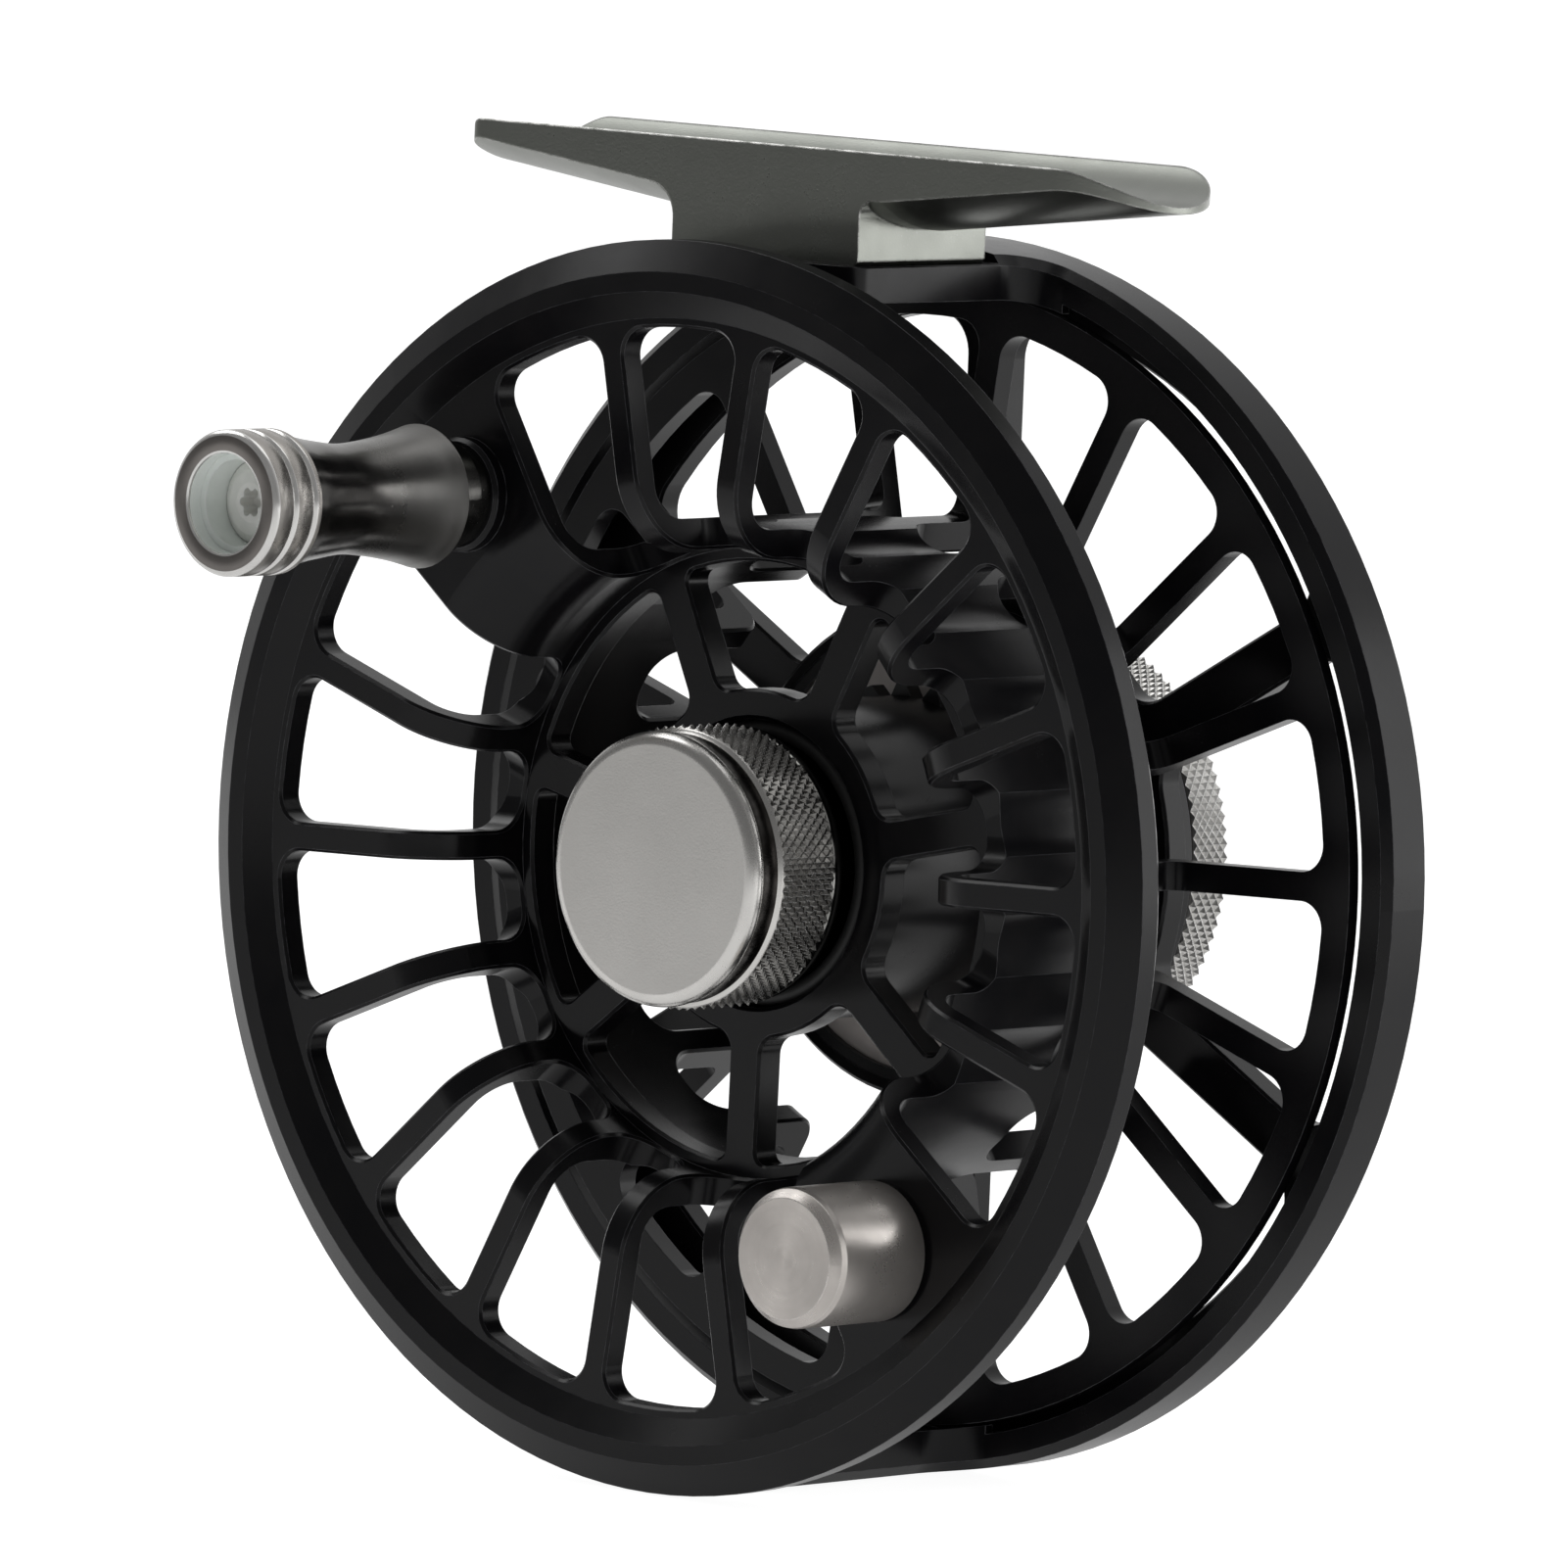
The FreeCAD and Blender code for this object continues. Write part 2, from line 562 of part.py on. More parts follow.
boss = rod_along(size("handle_boss"), -size("boss_top"), size("web_back") - 1, x=size("handle_offset"))
boss = boss.makeChamfer(size("edge_break"),
                        edges_near(boss, lambda centre, edge: abs(centre.y + size("boss_top")) < 1e-6))
spool_base = doc.addObject("Part::Fuse", "spool_with_boss")
spool_base.Base = spool_blank
spool_base.Tool = shape_feature("handle_boss", boss)
doc.recompute()

pitch = 360 / size("spoke_count")
window_floor = size("arbor_bore") - 0.8
arbor_reach = size("arbor_outer") + 3
front_window = window(window_floor, size("window_radius"), pitch, size("spoke_width"),
                      -6.0, size("web_back") + 1.5, corner=size("window_corner"))
front_arbor_window = window(window_floor, arbor_reach, pitch, size("spoke_width"),
                            0.0, size("front_window_end"), end_round=size("window_end"))
back_window = window(window_floor, size("back_window_radius"), pitch, size("spoke_width"),
                     size("flange_front") - 1.5, size("flange_back") + 2, corner=size("window_corner"))
back_arbor_window = window(window_floor, arbor_reach, pitch, size("spoke_width"),
                           size("flange_back") + 1, size("back_window_end"),
                           end_round=size("window_end"))
flute = rod_along(size("flute_radius"), size("front_window_end") - 4, size("back_window_end") + 4,
                  x=size("arbor_outer") + size("flute_radius") - size("flute_depth"))
spool_cutters = []
spoke_count = int(size("spoke_count"))
solid_places = (0, spoke_count // 2)
for place in range(spoke_count):
    angle = size("window_turn") + place * pitch
    if place not in solid_places:
        spool_cutters.append(spun(front_window, angle))
        spool_cutters.append(spun(front_arbor_window, angle))
        spool_cutters.append(spun(flute, angle))
    spool_cutters.append(spun(back_window, angle))
    spool_cutters.append(spun(back_arbor_window, angle))

inner_count = int(size("inner_spoke_count"))
inner_window = window(size("inner_window_inner"), size("inner_window_outer"), 360 / inner_count,
                      size("inner_spoke_width"), size("disc_front") - 2, size("disc_back") + 0.9,
                      corner=size("inner_window_corner"), inner_corner=size("inner_window_root"))
for place in range(inner_count):
    spool_cutters.append(spun(inner_window, size("inner_window_turn") + place * 360 / inner_count))


def hex_prism(corner_radius, start, end):
    points = []
    for place in range(6):
        angle = math.radians(60 * place)
        points.append((corner_radius * math.cos(angle), corner_radius * math.sin(angle)))
    return flat_outline(points, start, end - start)


hex_gap = size("drive_gap") / math.cos(math.radians(30))
spool_cutters.append(hex_prism(size("sleeve_hex") + hex_gap, size("hub_wall"), size("hub_back") + 1))
spool_cutters.append(rod_along(size("stud_radius") + size("run_gap"), 0, size("hub_wall") + 1))
spool_cutters.append(rod_along(size("handle_shank"), -4, 6, x=size("handle_offset")))
spool_cutters.append(rod_along(size("weight_screw"), -4, 6, x=-size("handle_offset")))
spool_open = cut("spool_open", spool_base, spool_cutters)


def along_bore(point):
    return abs(math.hypot(point.x, point.z) - size("arbor_bore")) < NEAR


def on_spool_front(point):
    """On the web's front, its bend into the arbor, the front of the bore or the inner disc's front."""
    radius = math.hypot(point.x, point.z)
    bend = size("arbor_bend")
    bend_radius = size("arbor_bore") + bend
    bend_along = size("web_front") + bend
    if abs(point.y - size("web_front")) < NEAR and bend_radius - NEAR < radius < size("web_outer"):
        return True
    if abs(point.y - size("disc_front")) < NEAR and radius < size("inner_window_outer") + 1:
        return True
    if along_bore(point) and bend_along - NEAR < point.y < size("front_window_end") + NEAR:
        return True
    on_bend = abs(math.hypot(radius - bend_radius, point.y - bend_along) - bend) < NEAR
    return on_bend and radius < bend_radius and point.y < bend_along


def on_spool_back(point):
    """On the back flange's back face or the back of the bore."""
    radius = math.hypot(point.x, point.z)
    if abs(point.y - size("flange_back")) < NEAR:
        return size("arbor_bore") + size("back_bend") - NEAR < radius < size("back_window_radius") + 1
    if along_bore(point):
        return size("back_window_end") - NEAR < point.y < size("flange_back") - size("back_bend") + NEAR
    bend_radius = size("arbor_bore") + size("back_bend")
    bend_along = size("flange_back") - size("back_bend")
    on_bend = abs(math.hypot(radius - bend_radius, point.y - bend_along) - size("back_bend")) < NEAR
    return on_bend and radius < bend_radius and point.y > bend_along


bevel = size("window_bevel")
spool_front_bevelled = bevelled("spool_front_bevelled", spool_open, bevel, on_spool_front, [
    (size("window_radius"), size("web_front")),
    (size("arbor_bore"), size("front_window_end")),
    (size("inner_window_inner"), size("disc_front")),
    (size("inner_window_outer"), size("disc_front")),
])
spool_bevelled = bevelled("spool_bevelled", spool_front_bevelled, bevel, on_spool_back, [
    (size("back_window_radius"), size("flange_back")),
    (size("arbor_bore"), size("back_window_end")),
])
spool = keep(spool_bevelled, "spool", turn=size("handle_angle"))

# ---------------------------------------------------------------- handle and counterweight
handle_x = size("handle_offset") * math.cos(math.radians(size("handle_angle")))
handle_z = size("handle_offset") * math.sin(math.radians(size("handle_angle")))


def grip_shape():
    """Trumpet-shaped grip with bands near its outer end, turned about Y."""
    end = -size("handle_end")
    base = -size("handle_base")
    bore = size("grip_bore")
    band = size("grip_ring_radius")
    recess = size("grip_recess")
    edge = size("grip_edge")
    groove = size("groove_half")
    floor = end + size("recess_depth")
    corners = [(bore, floor), (recess, floor), (recess, end + edge), (recess + edge, end),
               (size("grip_end_radius"), end), (band, end + edge)]
    groove_count = int(size("groove_count"))
    for place in range(1, groove_count + 1):
        middle = end + place * size("band_width")
        corners += [(band, middle - groove), (band - size("grip_groove"), middle), (band, middle + groove)]
    waist_start = end + groove_count * size("band_width") + 0.8
    corners.append((band, waist_start - 0.1))
    corners.append((band - 0.2, waist_start))
    points = [Vector(radius, along, 0) for radius, along in corners]
    edges = [Part.makeLine(first, second) for first, second in zip(points, points[1:])]
    waist = size("grip_waist_radius")
    flare = size("grip_flare_radius")
    length = base - waist_start
    curve = Part.BSplineCurve()
    curve.interpolate([points[-1]] + [Vector(radius, waist_start + share * length, 0) for radius, share in (
        (band - 0.62, 0.10), (waist + 0.28, 0.27), (waist, 0.45), (waist + 0.22, 0.64),
        (waist + 0.72, 0.84), (flare, 1.0))])
    edges.append(curve.toShape())
    edges.append(Part.makeLine(Vector(flare, base, 0), Vector(bore, base, 0)))
    edges.append(Part.makeLine(Vector(bore, base, 0), points[0]))
    return Part.Face(Part.Wire(edges)).revolve(Vector(0, 0, 0), ALONG, 360)


grip = keep(shape_feature("handle_grip", grip_shape()), "handle_grip", x=handle_x, z=handle_z)

head_back = ("-handle_end", "bushing_seat", "-stack_gap")
handle_screw_blank = turned("handle_screw_blank", [
    (0.0, ("-handle_end", "screw_top")),
    ("screw_flat", ("-handle_end", "screw_top")),
    ("screw_dome", ("-handle_end", "screw_top", 0.25)),
    ("screw_head", ("-handle_end", "screw_top", 0.7)),
    ("screw_head", head_back),
    ("handle_shank", head_back),
    ("handle_shank", "web_back"),
    (0.0, "web_back"),
])


def six_lobe(radius, start, end):
    """Cutter for a six-lobed drive socket."""
    lobe = radius * 0.3
    circle = radius - lobe
    lobes = [spun(rod_along(lobe, start, end, x=circle), 60 * place) for place in range(6)]
    return rod_along(radius * 0.75, start, end).multiFuse(lobes)


socket = six_lobe(size("socket_radius"), -size("handle_end"), -size("handle_end") + size("screw_top") + 1.5)
handle_screw = keep(cut("handle_screw", handle_screw_blank, [socket]), "handle_screw",
                    x=handle_x, z=handle_z)

outer_bush = turned("outer_bushing", [
    (("screw_head", "seat_gap"), ("-handle_end", "bushing_lip")),
    ("grip_recess", ("-handle_end", "bushing_lip")),
    ("grip_recess", ("-handle_end", "recess_depth")),
    ("grip_bore", ("-handle_end", "recess_depth")),
    ("grip_bore", ("-handle_end", "recess_depth", "bushing_length")),
    (("handle_shank", "run_gap"), ("-handle_end", "recess_depth", "bushing_length")),
    (("handle_shank", "run_gap"), ("-handle_end", "bushing_seat")),
    (("screw_head", "seat_gap"), ("-handle_end", "bushing_seat")),
])
inner_bush = ring_along(size("handle_shank") + size("run_gap"), size("grip_bore"),
                        -size("handle_base") - size("bushing_length"), -size("handle_base"))
handle_bushings = keep(shape_feature("handle_bushings", Part.makeCompound([outer_bush.Shape, inner_bush])),
                       "handle_bushings", x=handle_x, z=handle_z)

handle_collar = keep(turned("handle_collar", [
    ("handle_shank", ("-handle_base", "seat_gap")),
    (("collar_radius", "-collar_edge"), ("-handle_base", "seat_gap")),
    ("collar_radius", ("-handle_base", "seat_gap", "collar_edge")),
    ("collar_radius", ("-collar_step", "-collar_edge")),
    (("collar_radius", "-collar_edge"), "-collar_step"),
    ("collar_neck", "-collar_step"),
    ("collar_neck", "-boss_top"),
    ("handle_shank", "-boss_top"),
]), "handle_collar", x=handle_x, z=handle_z)

counterweight = keep(turned("counterweight", [
    (0.0, "-weight_front"),
    (("weight_radius", -0.75), "-weight_front"),
    (("weight_radius", -0.1), ("-weight_front", 0.7)),
    ("weight_radius", ("-weight_front", 1.2)),
    ("weight_radius", ("web_front", -0.4)),
    (("weight_radius", -0.4), "web_front"),
    ("weight_screw", "web_front"),
    ("weight_screw", ("web_front", "-weight_thread")),
    (0.0, ("web_front", "-weight_thread")),
]), "counterweight", x=-handle_x, z=-handle_z)

weight_screw_blank = turned("weight_screw_blank", [
    (0.0, ("web_front", "-weight_screw_length")),
    ("weight_screw", ("web_front", "-weight_screw_length")),
    ("weight_screw", "web_back"),
    ("weight_screw_head", "web_back"),
    ("weight_screw_head", ("web_back", 1.0)),
    (("weight_screw_head", "-weight_screw_edge"), ("web_back", 1.0, "weight_screw_edge")),
    (0.0, ("web_back", 1.0, "weight_screw_edge")),
])
socket = hex_prism(size("socket_radius"), size("web_back") + 0.4, size("web_back") + 3)
counterweight_screw = keep(cut("counterweight_screw", weight_screw_blank, [socket]),
                           "counterweight_screw", x=-handle_x, z=-handle_z)

# ---------------------------------------------------------------- spool cap
spool_cap = keep(turned("spool_cap", [
    (0.0, "-cap_front"),
    (("cap_radius", "-cap_band"), "-cap_front"),
    (("cap_radius", "-cap_band"), "-cap_band_back"),
    (("cap_radius", "-cap_groove"), ("-cap_band_back", 0.15)),
    (("cap_radius", "-cap_groove"), ("cap_knurl_front", "-cap_slope")),
    ("cap_radius", "cap_knurl_front"),
    ("cap_radius", ("cap_back", "-edge_break")),
    (("cap_radius", "-edge_break"), "cap_back"),
    ("cap_neck", "cap_back"),
    ("cap_neck", ("well_floor", -0.5)),
    ("stud_radius", ("well_floor", -0.5)),
    ("stud_radius", "stud_end"),
    (0.0, "stud_end"),
], rounds=[
    (("cap_radius", "-cap_band"), "-cap_front", "cap_round"),
]), "spool_cap")

seal_ring = Part.makeTorus(size("seal_circle"), size("seal_half"), Vector(0, size("seal_along"), 0), ALONG)
cap_seal = keep(shape_feature("cap_seal", seal_ring), "cap_seal")
cap_clip_ring = ring_along(size("stud_radius") + size("run_gap"), size("clip_outer"),
                           size("clip_front"), size("clip_back"))
clip_slot_depth = size("clip_back") - size("clip_front") + 1
clip_slot = Part.makeBox(size("clip_outer") + 1, clip_slot_depth, size("clip_gap"),
                         Vector(0, size("clip_front") - 0.5, -size("clip_gap") / 2))
cap_clip = keep(shape_feature("cap_clip", cap_clip_ring.cut(clip_slot)), "cap_clip")

# ---------------------------------------------------------------- frame
frame_blank = turned("frame_blank", [
    ("spindle_radius", "cup_floor"),
    ("cup_bore", "cup_floor"),
    ("cup_bore", ("cup_front", "cup_step")),
    (("cup_radius", "-cup_lip"), ("cup_front", "cup_step")),
    (("cup_radius", "-cup_lip"), "cup_front"),
    (("cup_radius", "-edge_break"), "cup_front"),
    ("cup_radius", ("cup_front", "edge_break")),
    ("cup_radius", "arm_front"),
    ("ring_bore", "arm_front"),
    ("ring_bore", "ring_front"),
    ("ring_radius", "ring_front"),
    ("ring_radius", "ring_back"),
    (("ring_radius", -2.9), ("arm_back", -0.4)),
    (("ring_radius", -3.9), "arm_back"),
    (("neck_radius", 0.5), "arm_back"),
    ("neck_radius", ("arm_back", 0.5)),
    ("neck_radius", ("cup_back", -0.8)),
    (("neck_radius", -0.8), "cup_back"),
    ("boss_radius", "cup_back"),
    ("boss_radius", "boss_back"),
    ("spindle_radius", "boss_back"),
])


def crossbar(half_width, sign):
    """Curved bar from the ring forward, flared into the ring at its root; sign picks top or bottom."""
    flare = size("bar_flare")
    edge = size("ring_front")
    root = edge + size("bar_root")
    front = size("bar_front")
    bend = edge - flare
    round_front = size("bar_corner")
    near = half_width - round_front
    points = [
        Vector(-near, front, 0), Vector(near, front, 0),
        Vector(half_width, front + round_front, 0), Vector(half_width, bend, 0),
        Vector(half_width + flare, edge, 0), Vector(half_width + flare, root, 0),
        Vector(-half_width - flare, root, 0), Vector(-half_width - flare, edge, 0),
        Vector(-half_width, bend, 0), Vector(-half_width, front + round_front, 0),
    ]
    lean = 1 - math.sqrt(0.5)
    front_right = Vector(half_width - round_front * lean, front + round_front * lean, 0)
    flare_right = Vector(half_width + flare * lean, edge - flare * lean, 0)

    def mirrored(point):
        return Vector(-point.x, point.y, 0)

    edges = [
        Part.makeLine(points[0], points[1]),
        Part.Arc(points[1], front_right, points[2]).toShape(),
        Part.makeLine(points[2], points[3]),
        Part.Arc(points[3], flare_right, points[4]).toShape(),
        Part.makeLine(points[4], points[5]),
        Part.makeLine(points[5], points[6]),
        Part.makeLine(points[6], points[7]),
        Part.Arc(points[7], mirrored(flare_right), points[8]).toShape(),
        Part.makeLine(points[8], points[9]),
        Part.Arc(points[9], mirrored(front_right), points[0]).toShape(),
    ]
    plate = Part.Face(Part.Wire(edges)).extrude(Vector(0, 0, 60 * sign))
    return plate.common(ring_along(size("bar_bore"), size("ring_radius"), 0, root + 1))


bars = shape_feature("crossbars", Part.makeCompound([crossbar(size("top_bar_half"), 1),
                                                     crossbar(size("bottom_bar_half"), -1)]))
frame_body = doc.addObject("Part::Fuse", "frame_with_bars")
frame_body.Base = frame_blank
frame_body.Tool = bars
doc.recompute()

frame_cutters = []
arm_count = int(size("arm_count"))
frame_window = window(size("frame_window_inner"), size("frame_window_radius"), 360 / arm_count,
                      size("arm_width"), size("arm_front") - 1, size("arm_back") + 2,
                      corner=size("frame_window_corner"), inner_corner=size("frame_window_corner"))
for place in range(arm_count):
    frame_cutters.append(spun(frame_window, place * 360 / arm_count))
pin_count = int(size("pin_count"))
for place in range(pin_count):
    hole = rod_along(size("pin_radius") + size("run_gap"), size("cup_floor") - 1, size("cup_back") + 1,
                     x=size("pin_circle"))
    frame_cutters.append(spun(hole, 90 + place * 360 / pin_count))
frame_open = cut("frame_open", frame_body, frame_cutters)


def on_ring_outside(point):
    """On the cylinder around ring and crossbars, up to the ring's front edge."""
    radius = math.hypot(point.x, point.z)
    return abs(radius - size("ring_radius")) < NEAR and point.y < size("ring_front") + size("bar_root")


def on_arm_faces(point):
    """On the front or back face of the arms, between cup and ring."""
    radius = math.hypot(point.x, point.z)
    on_face = abs(point.y - size("arm_front")) < NEAR or abs(point.y - size("arm_back")) < NEAR
    return on_face and size("cup_radius") + 0.5 < radius < size("frame_window_radius") + NEAR


frame_ring_bevelled = bevelled("frame_ring_bevelled", frame_open, size("ring_bevel"), on_ring_outside, [
    (size("ring_radius"), size("ring_front")),
    (size("ring_radius"), size("bar_front")),
])
frame_bevelled = bevelled("frame_bevelled", frame_ring_bevelled, bevel, on_arm_faces, [
    (size("frame_window_inner"), size("arm_front")),
    (size("frame_window_inner"), size("arm_back")),
    (size("frame_window_radius"), size("arm_front")),
    (size("frame_window_radius"), size("arm_back")),
])


def foot_screw_shape(along):
    """Countersunk screw pointing up through the top crossbar."""
    radius = size("foot_screw")
    depth = size("foot_screw_head")
    base = Vector(0, along, size("bar_bore") + size("foot_screw_start"))
    head = Part.makeCone(radius + depth, radius, depth, base, UP)
    shank = Part.makeCylinder(radius, size("foot_screw_length"), base, UP)
    return head.fuse(shank)


flat_end = size("foot_back") + size("flat_margin")
foot_screw_places = (size("foot_screw_front"), size("foot_screw_rear"))
seat_cutters = [Part.makeBox(60, flat_end, 10, Vector(-30, 0, size("foot_flat")))]
for along in foot_screw_places:
    seat_cutters.append(foot_screw_shape(along))
    below = Vector(0, along, size("bar_bore") + size("foot_screw_start") - 1)
    seat_cutters.append(Part.makeCylinder(size("foot_screw") + size("foot_screw_head"), 1, below, UP))
frame = keep(cut("frame_with_seat", frame_bevelled, seat_cutters), "frame")

# ---------------------------------------------------------------- foot
def foot_section(x, edge_thickness):
    """Cross-section of a wing at x, convex below; the seat is cut from its top later."""
    front = size("foot_front")
    back = size("foot_back")
    middle = (front + back) / 2
    top = size("axis_drop") + 1.0
    half = (back - front) / 2
    sag = size("seat_radius") - math.sqrt(size("seat_radius") ** 2 - half ** 2)
    low = size("axis_drop") - edge_thickness
    corners = [Vector(x, front, low), Vector(x, back, low), Vector(x, back, top), Vector(x, front, top)]
    edges = [
        Part.Arc(corners[0], Vector(x, middle, low - sag * size("foot_sag")), corners[1]).toShape(),
        Part.makeLine(corners[1], corners[2]),
        Part.makeLine(corners[2], corners[3]),
        Part.makeLine(corners[3], corners[0]),
    ]
    return Part.Wire(edges)


def stem_shape():
    """Stem of the foot, flared into the wings on both sides."""
    left = -size("stem_left")
    right = size("stem_right")
    left_fillet = size("stem_fillet_left")
    right_fillet = size("stem_fillet_right")
    base = size("foot_flat")
    under = size("axis_drop") - size("foot_thick")
    top = size("axis_drop") + 1.0
    lean = 1 - math.sqrt(0.5)
    chamfer = size("stem_chamfer")
    corners = [
        Vector(left + chamfer, 0, base), Vector(right - chamfer, 0, base), Vector(right, 0, base + chamfer),
        Vector(right, 0, under - right_fillet), Vector(right + right_fillet, 0, under),
        Vector(right + right_fillet, 0, top), Vector(left - left_fillet, 0, top),
        Vector(left - left_fillet, 0, under), Vector(left, 0, under - left_fillet),
        Vector(left, 0, base + chamfer),
    ]
    right_mid = Vector(right + right_fillet * lean, 0, under - right_fillet * lean)
    left_mid = Vector(left - left_fillet * lean, 0, under - left_fillet * lean)
    edges = []
    for index, corner in enumerate(corners):
        following = corners[(index + 1) % len(corners)]
        if index == 3:
            edges.append(Part.Arc(corner, right_mid, following).toShape())
        elif index == 7:
            edges.append(Part.Arc(corner, left_mid, following).toShape())
        else:
            edges.append(Part.makeLine(corner, following))
    face = Part.Face(Part.Wire(edges))
    face.translate(Vector(0, size("foot_front"), 0))
    return face.extrude(Vector(0, size("foot_back") - size("foot_front"), 0))


def foot_shape():
    """The whole foot: stem, two wings, rounded tips, rod seat and screw holes."""
    root_left = foot_section(-size("stem_left") - size("wing_root"), size("foot_thick"))
    root_right = foot_section(size("stem_right") + size("wing_root"), size("foot_thick"))
    left_tip = foot_section(-size("foot_left"), size("foot_thin_left"))
    right_tip = foot_section(size("foot_right"), size("foot_thin_right"))
    left_wing = Part.makeLoft([left_tip, root_left], True, True)
    right_wing = Part.makeLoft([root_right, right_tip], True, True)
    middle = Part.makeLoft([root_left, root_right], True, True)
    solid = stem_shape().multiFuse([left_wing, right_wing, middle])
    width = size("foot_back") - size("foot_front")
    length = size("foot_left") + size("foot_right")
    plan = Part.makeBox(length, width, 40, Vector(-size("foot_left"), size("foot_front"), 30))

    def left_corner(centre, edge):
        return abs(centre.z - 50) < 1e-6 and centre.x < 0

    def right_corner(centre, edge):
        return abs(centre.z - 50) < 1e-6 and centre.x > 0

    plan = plan.makeFillet(size("left_tip_round"), edges_near(plan, left_corner))
    plan = plan.makeFillet(size("right_tip_round"), edges_near(plan, right_corner))
    solid = solid.common(plan)
    half = width / 2
    rise = math.sqrt(size("seat_radius") ** 2 - half ** 2)
    seat = Part.makeCylinder(size("seat_radius"), 90,
                             Vector(-45, size("foot_front") + half, size("axis_drop") + rise),
                             Vector(1, 0, 0))
    cap = Part.makeBox(90, 40, 10, Vector(-45, 0, size("axis_drop")))
    solid = solid.cut(seat).cut(cap)
    for along in foot_screw_places:
        solid = solid.cut(foot_screw_shape(along))
    return solid.removeSplitter()


reel_foot = keep(shape_feature("reel_foot", foot_shape()), "reel_foot")


def foot_screws_shape():
    """Both foot screws with a round socket in each head."""
    screws = []
    for along in foot_screw_places:
        key = Part.makeCylinder(0.9, 0.7, Vector(0, along, size("bar_bore")), UP)
        screws.append(foot_screw_shape(along).cut(key))
    return Part.makeCompound(screws)


foot_screws = keep(shape_feature("foot_screws", foot_screws_shape()), "foot_screws")

# ---------------------------------------------------------------- spindle and drive
spindle = keep(turned("spindle", [
    (0.0, "spindle_front"),
    (("spindle_radius", -0.4), "spindle_front"),
    ("spindle_radius", ("spindle_front", 0.4)),
    ("spindle_radius", "boss_back"),
    ("spindle_thread", "boss_back"),
    ("spindle_thread", ("boss_back", "-spindle_thread_depth")),
    (0.0, ("boss_back", "-spindle_thread_depth")),
]), "spindle")

spindle_clip = keep(turned("spindle_clip", [
    ("spindle_radius", ("spindle_front", "clip_start")),
    ("spindle_clip_radius", ("spindle_front", "clip_start")),
    ("spindle_clip_radius", ("spindle_front", "clip_start", "spindle_clip_thick")),
    ("spindle_radius", ("spindle_front", "clip_start", "spindle_clip_thick")),
]), "spindle_clip")

sleeve_round_part = rod_along(size("sleeve_round"), size("sleeve_hex_end") - 0.2, size("sleeve_back"))
sleeve_solid = hex_prism(size("sleeve_hex"), size("sleeve_front"), size("sleeve_hex_end"))
sleeve_solid = sleeve_solid.fuse(sleeve_round_part)
sleeve_solid = sleeve_solid.cut(rod_along(size("sleeve_bore"), size("sleeve_bore_front"),
                                          size("sleeve_back") + 1))
sleeve_solid = sleeve_solid.cut(rod_along(size("stud_radius") + size("run_gap"), size("sleeve_front") - 1,
                                          size("sleeve_back")))
drive_sleeve = keep(shape_feature("drive_sleeve", sleeve_solid), "drive_sleeve", turn=size("handle_angle"))


def bearing(name, start):
    """Ball bearing shown as one closed ring."""
    return keep(turned(name, [
        (("spindle_radius", "press_gap"), start),
        (("sleeve_bore", "-bearing_edge"), start),
        ("sleeve_bore", (start, "bearing_edge")),
        ("sleeve_bore", (start, "bearing_width", "-bearing_edge")),
        (("sleeve_bore", "-bearing_edge"), (start, "bearing_width")),
        (("spindle_radius", "press_gap"), (start, "bearing_width")),
    ]), name)


front_bearing = bearing("front_bearing", "front_bearing_start")
rear_bearing = bearing("rear_bearing", "rear_bearing_start")

one_way_clutch = keep(turned("one_way_clutch", [
    (("sleeve_round", "run_gap"), "clutch_front"),
    ("clutch_radius", "clutch_front"),
    ("clutch_radius", "clutch_back"),
    (("sleeve_round", "run_gap"), "clutch_back"),
]), "one_way_clutch")

drag_rotor = keep(turned("drag_rotor", [
    ("clutch_radius", "rotor_front"),
    ("disc_radius", "rotor_front"),
    ("disc_radius", "rotor_step"),
    ("rotor_sleeve", "rotor_step"),
    ("rotor_sleeve", "rotor_back"),
    ("clutch_radius", "rotor_back"),
]), "drag_rotor")


def washer(name, inner, outer, start, end):
    """Flat ring kept as its own piece."""
    return keep(turned(name, [(inner, start), (outer, start), (outer, end), (inner, end)]), name)


drag_cover = keep(turned("drag_cover", [
    ("cover_bore", "cover_front"),
    (("cup_radius", "-cup_lip", "-cover_gap", "-cover_edge"), "cover_front"),
    (("cup_radius", "-cup_lip", "-cover_gap"), ("cover_front", "cover_edge")),
    (("cup_radius", "-cup_lip", "-cover_gap"), ("cup_front", "cup_step")),
    ("cover_bore", ("cup_front", "cup_step")),
]), "drag_cover")
cover_clip_outer = size("cup_radius") - size("cup_lip") - size("cover_gap") / 2
cover_ring = ring_along(size("cover_clip_inner"), cover_clip_outer,
                        size("cover_clip_front"), size("cover_clip_back"))
ring_gap = Part.makeBox(4, 3, 2.2, Vector(15, 27, -1.1))
cover_clip = keep(shape_feature("cover_clip", cover_ring.cut(ring_gap)), "cover_clip",
                  turn=size("cover_clip_turn"))
plate_radius = ("cup_bore", "-plate_gap")
front_drag_disc = washer("front_drag_disc", "front_disc_bore", "disc_radius",
                         ("rotor_front", "-stack_gap", "-disc_thick"), ("rotor_front", "-stack_gap"))
second_start = ("rotor_step", "stack_gap")
steel_start = (*second_start, "disc_thick", "stack_gap")
third_start = (*steel_start, "plate_thick", "stack_gap")
rear_drag_disc = washer("rear_drag_disc", "disc_bore", "disc_radius",
                        second_start, (*second_start, "disc_thick"))
steel_disc = washer("steel_disc", "disc_bore", plate_radius, steel_start, (*steel_start, "plate_thick"))
third_drag_disc = washer("third_drag_disc", "disc_bore", "disc_radius",
                         third_start, (*third_start, "disc_thick"))
